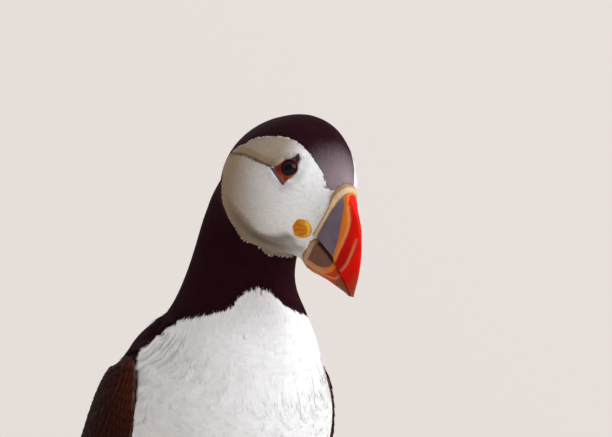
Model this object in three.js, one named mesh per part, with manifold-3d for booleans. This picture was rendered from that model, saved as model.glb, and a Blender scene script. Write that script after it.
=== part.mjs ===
// Atlantic puffin (Fratercula arctica), adult in breeding plumage, life size, standing.
// Millimetres and degrees. +Z is up, the body faces -Y and its left side is +X.
// The origin is on the floor, at the middle of the footprint of the whole bird.
// Sizes below are written in the bird's own terms: side (+ left), forward and up.

import * as THREE from "three";
import { LoftGeometry } from "three/addons/geometries/LoftGeometry.js";
import { mergeVertices } from "three/addons/utils/BufferGeometryUtils.js";
import Module from "manifold-3d";

const wasm = await Module();
wasm.setup();

// ---------------------------------------------------------------- driving dimensions

const FACET = 0.055; // facets flatter than this are joined
const WELD = 0.001; // corners nearer than this are one
const NUDGE = 0.01; // step along a curve, as a share of it, to find its direction
const SEAM = 0.3; // gap left by each parting cut, and between pieces that meet
const BLOCK = 400; // half-size of a block that cuts away one side of a plane

// The trunk and neck, from the rump to inside the head, along the backbone.
// Each station: side, forward, up, half-width, depth to the belly side, depth to the back side.
const BACKBONE = [
  [0, -72, 42, 6, 4, 4],
  [0, -64, 46.5, 14.5, 10, 8],
  [0, -52, 53.5, 24.5, 18.5, 14],
  [0, -36, 63.5, 32.5, 30, 22],
  [0, -18, 76.5, 37, 37.5, 29],
  [0, -4, 90, 38.5, 40.5, 34],
  [0, 6, 104, 38.5, 40, 35],
  [0, 12, 116, 35.5, 36.5, 33],
  [0.4, 16.5, 126, 29.2, 31, 28.5],
  [0.5, 18.5, 135, 24.2, 25.5, 24.5],
  [0.5, 19.6, 144, 19.8, 20.2, 20],
  [0.7, 21.4, 152, 17.5, 17.4, 18],
  [1.4, 23.6, 160, 16.8, 17, 17],
  [2.8, 25.6, 168, 16.8, 17, 16],
  [4.4, 28.4, 175, 16.5, 17, 15],
  [5.4, 31, 182, 15.5, 16, 12],
  [6, 34, 188, 13, 14, 9],
];
const BODY_SQUARENESS = 2.1; // exponent of the superellipse of a body section
const BODY_STEPS = 32;
const BODY_RING = 26;
const NECK_LOW = 0.565; // where the neck is parted from the trunk, as a share of the backbone
const NECK_HIGH = 0.815; // where it is parted from the head

// The head in its own frame: forward along the bill, left, up; origin at the middle of the skull.
const HEAD = { side: 6.5, forward: 44, up: 182, yaw: 11.5, pitch: 36.5, roll: 5.8 };
// Outlines of the head, forward against up or half-width, from nape to bill.
const CROWN = [
  [-22.6, 0], [-20.8, 7.6], [-16.5, 14.8], [-9, 21.9], [0, 25], [9, 23.5], [17, 20.4], [24, 16.4], [28, 14],
];
const CHIN = [
  [-22.6, -4], [-20.8, -10], [-16.5, -16.5], [-9, -21.6], [0, -23.2], [9, -21.4], [17, -17.6], [26, -14.6], [30, -13.6],
];
const CHEEK = [
  [-22.6, 2.5], [-20.8, 9], [-16.5, 15.2], [-9, 20.4], [-1, 22.5], [6, 21.8], [12, 19.2], [17, 15.2], [21, 10.8],
  [24, 7.6], [28, 6],
];
const CHEEK_UP = [[-24, -1], [-8, -3], [8, -4.5], [24, -4]]; // height of the widest part
const FACE_SQUARENESS = { above: 1.9, below: 2.25 };
const HEAD_STEPS = 19;
const HEAD_RING = 26;

// The bill in the head's frame, forward and up, from the feather line to the tip.
const CULMEN = [
  [23.8, 16.4], [29, 13.9], [34, 11.3], [38.3, 8.4], [42, 4.9], [45.4, 0.6], [48.4, -4.8], [50.8, -11.7],
];
const CUTTING_EDGE = [
  [25.4, -4.2], [30, -4.4], [34.6, -4.8], [38.6, -5.5], [42, -6.9], [45, -8.1], [48, -9.5], [50.6, -11.2],
];
const GONYS = [
  [26.3, -15.2], [29.6, -16], [33.4, -15], [37.5, -13.8], [41.5, -13], [45, -12.3], [47.6, -11.9], [49.4, -11.8],
];
const BILL_HALF_WIDTH = [[0, 6.2], [0.25, 5.1], [0.5, 3.9], [0.75, 2.5], [1, 0.8]];
const BILL_RING = 16;
const BILL_ROUND = 2.4; // squareness of a section towards the culmen or the keel
const BILL_FLAT = 7; // and towards the cutting edge
// Width of the culmen and of the lower bill's keel, as a share of the width at the cutting edge.
const RIDGE_SHARE = [[0, 0.95], [0.12, 0.72], [0.3, 0.42], [1, 0.3]];
const KEEL_SHARE = [[0, 0.84], [0.15, 0.64], [0.4, 0.42], [1, 0.36]];
const LOWER_SHARE = 0.94; // the lower bill shuts just inside the upper
const BASE_GAP = 0.012; // first share of the bill's length, left free before the feathers
// The fleshy ridge at the base of each half of the bill: share of the bill's length, and height.
const CERE = { reach: 0.1, rise: 0.9, steps: 4 };
const RIM = { reach: 0.12, rise: 0.5, steps: 4 };
// Each half of the bill: the share of its length where it is cut blunt, and its sections.
const UPPER_BILL = { end: 0.985, steps: 13 };
const LOWER_BILL = { end: 0.97, steps: 11 };

// The eye and what frames it, in the head's frame on the left side.
// The opening is the radius inside the ring, and the bulge is how far the ball stands out in it.
const EYE = { forward: 9.9, left: 15.6, up: 12.5, ball: 4.4, opening: 2.9, bulge: 1, turns: 14, rows: 8 };
const EYE_FACES = [0.34, 1, 0.6]; // the way the eye looks: forward, left, up
const EYE_RING = { tube: 0.7, inset: 0.3, spread: 24, sides: 5, turns: 15 };
// Where the ring is drawn out: degrees from forward towards up, and by what share.
const EYE_CORNERS = [[105, 0.16], [229, 0.48], [312, 0.58]];
// The horn plates in the plane of the eye, forward and up.
const UPPER_PLATE = [[-2.6, 3.1], [1.5, 4], [-1.9, 6.6]];
const LOWER_PLATE = [[-3.7, -5.2], [4.3, -5.3], [4.3, -4.2], [-3.7, -4.2]];
const PLATE_THICK = 1.3;
// The patch at the corner of the mouth: place, half-sizes, and the way it faces.
const ROSETTE = { forward: 22.2, left: 8.2, up: -3.7, along: 4, tall: 3.6, thick: 2.4, turns: 12, rows: 7 };
const ROSETTE_FACES = [0.5, 1, -0.1];

// The left wing, folded along the body. Each station: side, forward, up, half the width across
// the wing, thickness, lean of its outer face from the side towards the back.
const WING = [
  [34, 5, 122, 3.5, 3, 16],
  [37.8, 3, 114, 13.5, 5.5, 14],
  [39.6, -4, 102.5, 20.5, 7, 14],
  [39.6, -15, 89.5, 22, 7.5, 19],
  [37.2, -30, 75.5, 21, 7, 26],
  [31, -47, 62.5, 17.5, 6, 34],
  [22.5, -65, 50.5, 12.5, 4.8, 44],
  [14.8, -83, 39.5, 7.6, 3.4, 54],
  [10.5, -98, 30.5, 2.4, 1.8, 62],
];
const WING_BOW_RADIUS = 42; // how the wing wraps round the body
const WING_BACK_SHARE = 0.5; // how much of its lean turns it backwards
const WING_SQUARENESS = 2.5;
const WING_STEPS = 16;
const WING_RING = 16;

const TAIL = {
  forward: -62,
  up: 44.5,
  length: 37,
  drop: 30,
  rootHalf: 10,
  tipHalf: 18,
  thick: 3.4,
  tip: 1.2,
  bow: 3.4, // drop of the edges below the middle at the tip
  bowRoot: 0.4, // share of that drop at the root
  rounding: 0.16, // how much shorter the outer feathers are
  squareness: 2.4,
  steps: 8,
  ring: 16,
};

const LEG = {
  side: 17,
  forward: -9,
  hip: 58, // top of the feathered thigh, inside the belly
  ankle: 28,
  lean: 7, // how far the ankle stands behind the toes' root
  toeOut: 9,
  thighTop: 13,
  thighFoot: 3.7,
  thighPower: 2.4, // how late the thigh narrows towards the ankle
  thighFlat: 0.85, // its width across, as a share of its width from the side
  thighIn: 1.5, // how far its top leans inwards
  thighTurns: 14,
  shankWide: 3, // half-width of the tarsus seen from the side
  shankThin: 2.2,
  shankTurns: 12,
  knob: 0.2, // how much the joints at both ends are thicker
  ankleKnob: 0.15, // and over what share of the tarsus
  toeKnob: 0.17,
  steps: 6,
};
const TOES = [
  { name: "inner", turn: -25, length: 28, claw: 6.5 },
  { name: "middle", turn: 0, length: 35, claw: 6 },
  { name: "outer", turn: 23, length: 34, claw: 5 },
];
// Half-width and height at the root and tip, and how far the toes' root reaches behind the shank.
const TOE = { rootHalf: 2.5, tipHalf: 1.7, rootHigh: 4.6, tipHigh: 2.8, back: 3, steps: 5, turns: 8 };
const TOE_SINK = 0.3; // share of a toe's height below the floor, trimmed to a flat tread
const TOE_FALL = 0.6; // power of the fall in height along a toe
const CLAW = { half: 1.3, rise: 1, taper: 0.8, sink: 0.6, steps: 4, turns: 6 };
const WEB = { thick: 1.3, heel: 2.5, curve: 5 };
const WEB_SCALLOP = 0.87; // how far the web's front edge is drawn in between two toes

// ---------------------------------------------------------------- materials

const paint = (color, roughness) => new THREE.MeshStandardMaterial({ color, roughness, metalness: 0 });
const MATERIALS = {
  head: paint(0xd8d5d2, 0.8),
  black: paint(0x241a20, 0.75),
  white: paint(0xf1f0ee, 0.85),
  wing: paint(0x2e2220, 0.7),
  cere: paint(0xd9c79a, 0.55),
  bill: paint(0xdb3414, 0.35),
  mandible: paint(0x7a6a70, 0.4),
  rosette: paint(0xf0a21c, 0.45),
  eye: paint(0x1d1216, 0.08),
  frame: paint(0x8a3430, 0.5),
  leg: paint(0xe8641c, 0.5),
  claw: paint(0x1c1a1a, 0.4),
};

// ---------------------------------------------------------------- small tools

const rad = THREE.MathUtils.degToRad;
const place = (side, forward, up) => new THREE.Vector3(side, -forward, up);
const SIDES = { left: 1, right: -1 };
const mirrored = (sign) => new THREE.Matrix4().makeScale(sign, 1, 1);

// A smooth function through [x, value] pairs, flat past both ends.
function through(pairs) {
  const points = pairs.map(([x, v]) => new THREE.Vector3(x, v, 0));
  const curve = new THREE.CatmullRomCurve3(points, false, "catmullrom");
  const last = pairs.length - 1;
  return (x) => {
    if (x <= pairs[0][0]) return pairs[0][1];
    if (x >= pairs[last][0]) return pairs[last][1];
    const i = pairs.findIndex(([edge]) => edge > x) - 1;
    const share = (x - pairs[i][0]) / (pairs[i + 1][0] - pairs[i][0]);
    return curve.getPoint((i + share) / last).y;
  };
}

// The row of numbers at a share (0 to 1) of the way along rows of stations.
function along(rows, share) {
  const columns = rows[0].map((_, k) => through(rows.map((row, i) => [i, row[k]])));
  return columns.map((column) => column(share * (rows.length - 1)));
}

// The points of a superellipse of half-axes one, as [across, up].
function superellipse(turns, squareness) {
  const bend = (v) => Math.sign(v) * Math.abs(v) ** (2 / squareness);
  return Array.from({ length: turns }, (_, j) => {
    const angle = (j / turns) * 2 * Math.PI;
    return [bend(Math.cos(angle)), bend(Math.sin(angle))];
  });
}

// A capped loft whose sides face outwards whichever way round its rings were drawn.
function loft(sections) {
  const middle = (ring) => ring.reduce((sum, p) => sum.add(p), new THREE.Vector3()).divideScalar(ring.length);
  const [first, next] = [sections[0], sections[1]].map(middle);
  const spin = new THREE.Vector3();
  sections[0].forEach((p, i, ring) => {
    const q = ring[(i + 1) % ring.length];
    spin.add(p.clone().sub(first).cross(q.clone().sub(first)));
  });
  const rings = spin.dot(next.sub(first)) > 0 ? sections : sections.map((ring) => [...ring].reverse());
  return new LoftGeometry(rings, { capStart: true, capEnd: true });
}

function solid(geometry, matrix) {
  const bare = geometry.index ? geometry.toNonIndexed() : geometry.clone();
  if (matrix) bare.applyMatrix4(matrix);
  for (const name of Object.keys(bare.attributes)) if (name !== "position") bare.deleteAttribute(name);
  const merged = mergeVertices(bare, WELD);
  const index = merged.index.array;
  const kept = [];
  for (let i = 0; i < index.length; i += 3) {
    const [a, b, c] = index.slice(i, i + 3);
    if (a !== b && b !== c && a !== c) kept.push(a, b, c);
  }
  const mesh = (triangles) =>
    new wasm.Manifold(
      new wasm.Mesh({
        numProp: 3,
        vertProperties: merged.attributes.position.array,
        triVerts: new Uint32Array(triangles),
      }),
    );
  const made = mesh(kept);
  return made.volume() > 0 ? made : mesh(kept.reverse());
}

const root = new THREE.Group();

function add(name, made, material) {
  const { vertProperties, triVerts } = made.simplify(FACET).getMesh();
  const geometry = new THREE.BufferGeometry();
  geometry.setAttribute("position", new THREE.BufferAttribute(new Float32Array(vertProperties), 3));
  geometry.setIndex(new THREE.BufferAttribute(new Uint32Array(triVerts), 1));
  geometry.computeVertexNormals();
  const mesh = new THREE.Mesh(geometry, material);
  mesh.name = name;
  root.add(mesh);
}

// The biggest of the bodies a cut has left.
function largest(made) {
  return made.decompose().reduce((best, each) => (each.volume() > best.volume() ? each : best));
}

// A block that fills the side of a plane towards its normal.
function halfSpace(point, normal) {
  const away = normal.clone().normalize();
  const turn = new THREE.Quaternion().setFromUnitVectors(new THREE.Vector3(0, 0, 1), away);
  const middle = point.clone().addScaledVector(away, BLOCK);
  const matrix = new THREE.Matrix4().compose(middle, turn, new THREE.Vector3(1, 1, 1));
  return solid(new THREE.BoxGeometry(2 * BLOCK, 2 * BLOCK, 2 * BLOCK), matrix);
}

// ---------------------------------------------------------------- trunk and neck

// The backbone's frame at a share of its length: centre, direction, belly side and sizes.
function backbone(share) {
  const [side, forward, up, half, belly, back] = along(BACKBONE, share);
  const before = along(BACKBONE, Math.max(share - NUDGE, 0));
  const after = along(BACKBONE, Math.min(share + NUDGE, 1));
  const run = place(...after.slice(0, 3)).sub(place(...before.slice(0, 3))).normalize();
  const across = new THREE.Vector3(1, 0, 0).addScaledVector(run, -run.x).normalize();
  const towardsBelly = new THREE.Vector3().crossVectors(across, run).normalize();
  return { centre: place(side, forward, up), run, across, towardsBelly, half, belly, back };
}

// The trunk and neck in one, made larger all round by extra.
function bodyLoft(extra) {
  const sections = [];
  for (let i = 0; i <= BODY_STEPS; i++) {
    const { centre, across, towardsBelly, half, belly, back } = backbone(i / BODY_STEPS);
    sections.push(
      superellipse(BODY_RING, BODY_SQUARENESS).map(([c, s]) =>
        centre
          .clone()
          .addScaledVector(across, c * (half + extra))
          .addScaledVector(towardsBelly, s * ((s > 0 ? belly : back) + extra)),
      ),
    );
  }
  return solid(loft(sections));
}

// The side of a parting plane of the backbone that lies towards the head.
function headward(share, offset) {
  const { centre, run } = backbone(share);
  return halfSpace(centre.addScaledVector(run, offset), run);
}

// ---------------------------------------------------------------- head

const headMatrix = new THREE.Matrix4()
  .makeRotationFromEuler(new THREE.Euler(rad(HEAD.pitch), rad(HEAD.roll), rad(HEAD.yaw), "ZXY"))
  .setPosition(place(HEAD.side, HEAD.forward, HEAD.up));
// A point given in the head's frame, before headMatrix is applied.
const inHead = (forward, left, up) => new THREE.Vector3(left, -forward, up);

// The skull with its feathers, made larger all round by extra.
function skull(extra) {
  const [crown, chin, cheek, middle] = [CROWN, CHIN, CHEEK, CHEEK_UP].map(through);
  const [back, front] = [CHEEK[0][0], CHEEK.at(-1)[0]];
  const sections = [];
  for (let i = 0; i <= HEAD_STEPS; i++) {
    // Stations crowd towards the nape, where the outline turns fastest.
    const x = front - (front - back) * Math.sin((Math.PI / 2) * (1 - i / HEAD_STEPS));
    const level = middle(x);
    const { above, below } = FACE_SQUARENESS;
    const upper = superellipse(HEAD_RING, above);
    sections.push(
      superellipse(HEAD_RING, below).map((low, j) => {
        const [c, s] = low[1] > 0 ? upper[j] : low;
        const reach = s > 0 ? crown(x) - level : level - chin(x);
        return inHead(x, c * (cheek(x) + extra), level + s * (reach + extra));
      }),
    );
  }
  return solid(loft(sections), headMatrix);
}

// Everything ahead of the line where the feathers end and the bill begins.
function billSide(offset) {
  const [top, bottom] = [CULMEN[0], GONYS[0]];
  const slope = Math.atan2(bottom[0] - top[0], top[1] - bottom[1]);
  const normal = inHead(Math.cos(slope), 0, Math.sin(slope));
  const point = inHead(top[0], 0, top[1]).addScaledVector(normal, offset);
  return halfSpace(point.applyMatrix4(headMatrix), normal.transformDirection(headMatrix));
}

// ---------------------------------------------------------------- bill

// Sections fanned from start to end of the bill's length, between the cutting edge and an outer
// outline whose width is a share of the edge's; swell makes them stand out all round.
function billLoft({ edge, outer, edgeShare, outerShare, start, end, steps, swell = 0 }) {
  const half = through(BILL_HALF_WIDTH);
  const narrow = through(outerShare);
  const round = superellipse(BILL_RING, BILL_ROUND);
  const flat = superellipse(BILL_RING, BILL_FLAT);
  const sections = [];
  for (let i = 0; i <= steps; i++) {
    const t = start + ((end - start) * i) / steps;
    const low = inHead(along(edge, t)[0], 0, along(edge, t)[1]);
    const high = inHead(along(outer, t)[0], 0, along(outer, t)[1]);
    const out = swell * Math.sin((Math.PI * (i + 1)) / (steps + 2));
    const tall = low.distanceTo(high);
    sections.push(
      round.map((point, j) => {
        const [c, s] = point[1] > 0 ? point : flat[j];
        const height = (s + 1) / 2;
        const width = half(t) * THREE.MathUtils.lerp(edgeShare, narrow(t), height);
        const lift = s > 0 ? (s * out) / tall : 0;
        return low.clone().lerp(high, height + lift).add(inHead(0, c * (width + out), 0));
      }),
    );
  }
  return solid(loft(sections), headMatrix);
}

const UPPER = { edge: CUTTING_EDGE, outer: CULMEN, edgeShare: 1, outerShare: RIDGE_SHARE };
const LOWER = {
  edge: CUTTING_EDGE.map(([forward, up]) => [forward, up - SEAM]),
  outer: GONYS,
  edgeShare: LOWER_SHARE,
  outerShare: KEEL_SHARE,
};

// ---------------------------------------------------------------- face

// The frame of the eye on the head: its z axis points out of the face, its y axis up the face.
// Its x axis points backward on the left side of the head and forward on the right.
function eyeMatrix(sign) {
  const [forward, left, up] = EYE_FACES;
  const out = inHead(forward, sign * left, up).normalize();
  const across = inHead(0, 0, 1).cross(out).normalize();
  const upwards = new THREE.Vector3().crossVectors(out, across);
  return headMatrix
    .clone()
    .multiply(new THREE.Matrix4().setPosition(inHead(EYE.forward, sign * EYE.left, EYE.up)))
    .multiply(new THREE.Matrix4().makeBasis(across, upwards, out));
}

// The eyeball, or its socket when made larger by extra.
function eyeball(sign, extra) {
  const sunk = new THREE.Matrix4().makeTranslation(0, 0, EYE.bulge - EYE.ball);
  return solid(new THREE.SphereGeometry(EYE.ball + extra, EYE.turns, EYE.rows), eyeMatrix(sign).multiply(sunk));
}

// The fleshy ring round the eye: a torus drawn out to its corners.
function eyeRing(sign) {
  const { tube, inset, spread, sides, turns } = EYE_RING;
  const geometry = new THREE.TorusGeometry(EYE.opening + tube * (1 - inset), tube, sides, turns);
  const position = geometry.getAttribute("position");
  for (let i = 0; i < position.count; i++) {
    const [x, y] = [position.getX(i), position.getY(i)];
    const angle = THREE.MathUtils.radToDeg(Math.atan2(y, -sign * x));
    const grow = EYE_CORNERS.reduce((sum, [at, share]) => {
      const away = THREE.MathUtils.euclideanModulo(angle - at + 180, 360) - 180;
      return sum + share * Math.exp(-((away / spread) ** 2));
    }, 1);
    position.setXY(i, x * grow, y * grow);
  }
  return solid(geometry, eyeMatrix(sign));
}

// A flat plate of horn on the face, its outline in the plane of the eye.
function hornPlate(outline, sign) {
  const shape = new THREE.Shape(outline.map(([forward, up]) => new THREE.Vector2(-sign * forward, up)));
  const geometry = new THREE.ExtrudeGeometry(shape, { depth: PLATE_THICK, bevelEnabled: false });
  const sunk = new THREE.Matrix4().makeTranslation(0, 0, -PLATE_THICK / 2);
  return solid(geometry, eyeMatrix(sign).multiply(sunk));
}

// The wrinkled yellow patch of skin at the corner of the mouth.
function rosette(sign) {
  const { forward, left, up, along: long, tall, thick, turns, rows } = ROSETTE;
  const out = inHead(ROSETTE_FACES[0], sign * ROSETTE_FACES[1], ROSETTE_FACES[2]).normalize();
  const across = inHead(0, 0, 1).cross(out).normalize();
  const matrix = headMatrix
    .clone()
    .multiply(new THREE.Matrix4().setPosition(inHead(forward, sign * left, up)))
    .multiply(new THREE.Matrix4().makeBasis(across, new THREE.Vector3().crossVectors(out, across), out))
    .multiply(new THREE.Matrix4().makeScale(long, tall, thick));
  return solid(new THREE.SphereGeometry(1, turns, rows), matrix);
}

// ---------------------------------------------------------------- wings and tail

// A bowed plate that follows the wing's stations.
function wingLoft(sign) {
  const sections = [];
  for (let i = 0; i <= WING_STEPS; i++) {
    const share = i / WING_STEPS;
    const [side, forward, up, half, thick, lean] = along(WING, share);
    const ahead = along(WING, Math.min(share + NUDGE, 1));
    const behind = along(WING, Math.max(share - NUDGE, 0));
    const run = place(...ahead.slice(0, 3)).sub(place(...behind.slice(0, 3))).normalize();
    const [level, rise] = [Math.cos(rad(lean)), Math.sin(rad(lean))];
    const out = new THREE.Vector3(level, WING_BACK_SHARE * rise, rise);
    out.addScaledVector(run, -out.dot(run)).normalize();
    const across = new THREE.Vector3().crossVectors(run, out).normalize();
    sections.push(
      superellipse(WING_RING, WING_SQUARENESS).map(([c, s]) =>
        place(side, forward, up)
          .addScaledVector(across, c * half)
          .addScaledVector(out, (s * thick) / 2 - (c * half) ** 2 / (2 * WING_BOW_RADIUS)),
      ),
    );
  }
  return solid(loft(sections), mirrored(sign));
}

function tailLoft(extra) {
  const sections = [];
  for (let i = 0; i <= TAIL.steps; i++) {
    const t = i / TAIL.steps;
    const half = THREE.MathUtils.lerp(TAIL.rootHalf, TAIL.tipHalf, Math.sin((t * Math.PI) / 2));
    const thick = THREE.MathUtils.lerp(TAIL.thick, TAIL.tip, t);
    const bow = TAIL.bow * THREE.MathUtils.lerp(TAIL.bowRoot, 1, t);
    sections.push(
      superellipse(TAIL.ring, TAIL.squareness).map(([c, s]) => {
        // The middle feathers reach furthest, and the tail's edges bow down.
        const reach = (t * TAIL.length + extra) * (1 - TAIL.rounding * c * c);
        const up = TAIL.up - Math.sin(rad(TAIL.drop)) * reach - bow * c * c;
        const forward = TAIL.forward - Math.cos(rad(TAIL.drop)) * reach;
        return place(c * (half + extra), forward, up + s * (thick / 2 + extra));
      }),
    );
  }
  return solid(loft(sections));
}

// ---------------------------------------------------------------- legs

// A tube through level rings: side, forward, up, half-width sideways, half-width forward.
function tube(rows, turns, sign) {
  const sections = rows.map(([side, forward, up, wide, deep]) =>
    superellipse(turns, 2).map(([c, s]) => place(side + wide * c, forward + deep * s, up)),
  );
  return solid(loft(sections), mirrored(sign));
}

function thigh(sign) {
  const { side, forward, hip, ankle, lean, thighTop, thighFoot, thighPower, thighFlat, thighIn } = LEG;
  const rows = [];
  for (let i = 0; i <= LEG.steps; i++) {
    const t = i / LEG.steps;
    const wide = THREE.MathUtils.lerp(thighFoot, thighTop, Math.sqrt(1 - t ** thighPower));
    const up = THREE.MathUtils.lerp(hip, ankle, t);
    rows.push([side - thighIn * (1 - t), forward - lean * t, up, wide * thighFlat, wide]);
  }
  return tube(rows, LEG.thighTurns, sign);
}

function tarsus(sign) {
  const { side, forward, ankle, lean, shankWide, shankThin } = LEG;
  const rows = [];
  for (let i = 0; i <= LEG.steps; i++) {
    const t = i / LEG.steps;
    const knobs = Math.exp(-((t / LEG.ankleKnob) ** 2)) + Math.exp(-(((1 - t) / LEG.toeKnob) ** 2));
    const knob = 1 + LEG.knob * knobs;
    const up = THREE.MathUtils.lerp(ankle - SEAM, TOE.rootHigh + SEAM, t);
    rows.push([side, forward - lean * (1 - t), up, shankThin * knob, shankWide * knob]);
  }
  return tube(rows, LEG.shankTurns, sign);
}

// Rings across a toe's line, flat underneath: each row is reach, half-width, lowest and highest point.
function toeTube(rows, turn, turns) {
  const [c, s] = [Math.cos(rad(turn)), Math.sin(rad(turn))];
  return loft(
    rows.map(([reach, half, low, high]) =>
      superellipse(turns, 2).map(([x, z]) => {
        const up = Math.max(0, (low + high) / 2 + (z * (high - low)) / 2);
        return place(half * x * c + reach * s, reach * c - half * x * s, up);
      }),
    ),
  );
}

function toe({ turn, length }) {
  const rows = [];
  for (let i = 0; i <= TOE.steps; i++) {
    const t = i / TOE.steps;
    const half = THREE.MathUtils.lerp(TOE.rootHalf, TOE.tipHalf, t);
    const high = THREE.MathUtils.lerp(TOE.rootHigh, TOE.tipHigh, t ** TOE_FALL);
    rows.push([-TOE.back + (length + TOE.back) * t, half, -TOE_SINK * high, high]);
  }
  return solid(toeTube(rows, turn, TOE.turns));
}

// A curved claw with a flat tread, from just past the toe's end.
function claw({ turn, length, claw: reach }, sign) {
  const rows = [];
  for (let i = 0; i <= CLAW.steps; i++) {
    const t = i / CLAW.steps;
    const size = CLAW.half * (1 - CLAW.taper * t);
    const middle = CLAW.rise * (1 - t ** 2) + size * (1 - CLAW.sink);
    rows.push([length + SEAM + reach * t, size, middle - size, middle + size]);
  }
  return solid(toeTube(rows, turn, CLAW.turns), footMatrix(sign));
}

// The web: one flat plate from the root to scalloped edges between the toes.
function web() {
  const tips = TOES.map(({ turn, length }) => [Math.sin(rad(turn)) * length, Math.cos(rad(turn)) * -length]);
  const shape = new THREE.Shape();
  shape.moveTo(-TOE.rootHalf, WEB.heel);
  shape.lineTo(...tips[0]);
  for (let i = 0; i + 1 < tips.length; i++) {
    const [here, next] = [tips[i], tips[i + 1]];
    const pull = [0, 1].map((k) => ((here[k] + next[k]) / 2) * WEB_SCALLOP);
    shape.quadraticCurveTo(...pull, ...next);
  }
  shape.lineTo(TOE.rootHalf, WEB.heel);
  const plate = { depth: WEB.thick, bevelEnabled: false, curveSegments: WEB.curve };
  return solid(new THREE.ExtrudeGeometry(shape, plate));
}

function footMatrix(sign) {
  return mirrored(sign)
    .multiply(new THREE.Matrix4().setPosition(place(LEG.side, LEG.forward, 0)))
    .multiply(new THREE.Matrix4().makeRotationZ(rad(LEG.toeOut)));
}

function foot(sign) {
  const whole = TOES.reduce((made, each) => made.add(toe(each)), web());
  return whole.transform(footMatrix(sign).elements);
}

// ---------------------------------------------------------------- assembly

const body = bodyLoft(0);
const bodyClear = bodyLoft(SEAM);
const tail = tailLoft(0).subtract(bodyClear);
const tailClear = tailLoft(SEAM);
const neckAndHead = body.intersect(headward(NECK_LOW, SEAM / 2));
const nape = body.intersect(headward(NECK_HIGH, SEAM / 2));
const faceClear = skull(SEAM / 3);

const trunk = body.subtract(headward(NECK_LOW, -SEAM / 2));
const neck = neckAndHead.subtract(headward(NECK_HIGH, -SEAM / 2)).subtract(skull(SEAM));
let head = skull(0).add(nape).subtract(billSide(-SEAM));

const horn = (half, ridge, sizes) => billLoft({ ...half, start: ridge.reach + BASE_GAP, ...sizes });
const fleshy = (half, { reach, rise, steps }) =>
  billLoft({ ...half, start: BASE_GAP, end: reach, steps, swell: rise });
add("bill_upper", horn(UPPER, CERE, UPPER_BILL), MATERIALS.bill);
add("bill_lower", horn(LOWER, RIM, LOWER_BILL), MATERIALS.mandible);
add("cere", fleshy(UPPER, CERE), MATERIALS.cere);
add("mandible_rim", fleshy(LOWER, RIM), MATERIALS.cere);

for (const [side, sign] of Object.entries(SIDES)) {
  const ball = eyeball(sign, 0);
  const onFace = (piece) => piece.subtract(faceClear).subtract(ball);
  const plates = hornPlate(UPPER_PLATE, sign).add(hornPlate(LOWER_PLATE, sign));
  head = head.subtract(eyeball(sign, SEAM));
  add("eye_" + side, ball, MATERIALS.eye);
  add("eye_frame_" + side, largest(onFace(eyeRing(sign).add(plates))), MATERIALS.frame);
  add("rosette_" + side, largest(onFace(rosette(sign)).subtract(billSide(-SEAM))), MATERIALS.rosette);
  add("wing_" + side, wingLoft(sign).subtract(bodyClear).subtract(tailClear), MATERIALS.wing);
  add("thigh_" + side, thigh(sign).subtract(bodyClear), MATERIALS.white);
  add("tarsus_" + side, tarsus(sign), MATERIALS.leg);
  add("foot_" + side, foot(sign), MATERIALS.leg);
  for (const each of TOES) add("claw_" + each.name + "_" + side, claw(each, sign), MATERIALS.claw);
}
add("head", head, MATERIALS.head);
add("neck", neck, MATERIALS.black);
add("trunk", trunk, MATERIALS.white);
add("tail", tail, MATERIALS.black);

// Bring the middle of the footprint over the origin.
const box = new THREE.Box3().setFromObject(root);
const middle = box.getCenter(new THREE.Vector3());
for (const mesh of root.children) mesh.geometry.translate(-middle.x, -middle.y, 0);

export default root;
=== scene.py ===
"""Dresses the solids of a standing Atlantic puffin: skin, plumage, bill, eyes, feet and a stage."""

import math

import bmesh
import bpy
import numpy as np
from mathutils import Matrix, Vector, noise
from mathutils.bvhtree import BVHTree


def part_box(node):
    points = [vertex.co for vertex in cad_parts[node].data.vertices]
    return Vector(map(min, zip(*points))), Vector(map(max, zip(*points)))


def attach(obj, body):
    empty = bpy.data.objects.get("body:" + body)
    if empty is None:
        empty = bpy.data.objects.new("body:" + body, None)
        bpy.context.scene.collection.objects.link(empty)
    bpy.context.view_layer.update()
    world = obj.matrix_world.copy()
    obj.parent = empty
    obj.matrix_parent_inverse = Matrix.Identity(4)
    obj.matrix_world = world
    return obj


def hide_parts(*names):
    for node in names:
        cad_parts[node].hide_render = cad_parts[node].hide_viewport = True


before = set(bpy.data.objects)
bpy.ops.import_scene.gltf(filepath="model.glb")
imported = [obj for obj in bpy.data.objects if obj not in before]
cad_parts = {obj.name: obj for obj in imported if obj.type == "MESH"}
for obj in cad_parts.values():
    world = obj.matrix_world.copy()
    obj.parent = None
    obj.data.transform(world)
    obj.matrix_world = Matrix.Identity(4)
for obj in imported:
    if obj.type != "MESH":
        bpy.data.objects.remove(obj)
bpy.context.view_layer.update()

bl_info = {
    "name": "Atlantic puffin dresser",
    "version": (1, 0, 0),
    "blender": (4, 5, 0),
    "location": "3D View > Sidebar > Puffin",
    "description": "Builds the skin, feathers, bill, eyes and feet of a life-size puffin over its solids",
    "category": "Object",
}

MM = 0.001
BODY = "root"
SIDES = {"left": 1, "right": -1}

# ------------------------------------------------------------------ the bird's own frames, in millimetres

# The line inside the trunk and neck, from the rump to the middle of the head.
AXIS = [
    (0, 62.8, 42), (0, 54.8, 46.5), (0, 42.8, 53.5), (0, 26.8, 63.5), (0, 8.8, 76.5), (0, -5.2, 90),
    (0, -15.2, 104), (0, -21.2, 116), (0.4, -25.7, 126), (0.5, -27.7, 135), (0.5, -28.8, 144),
    (0.7, -30.6, 152), (1.4, -32.8, 160), (2.8, -34.8, 168), (4.4, -37.6, 175), (5.4, -40.2, 182),
    (6, -43.2, 188),
]
HEAD_AT = (6.5, -53.2, 182)
HEAD_TURN = {"yaw": 11.5, "pitch": 36.5, "roll": 5.8}

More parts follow.
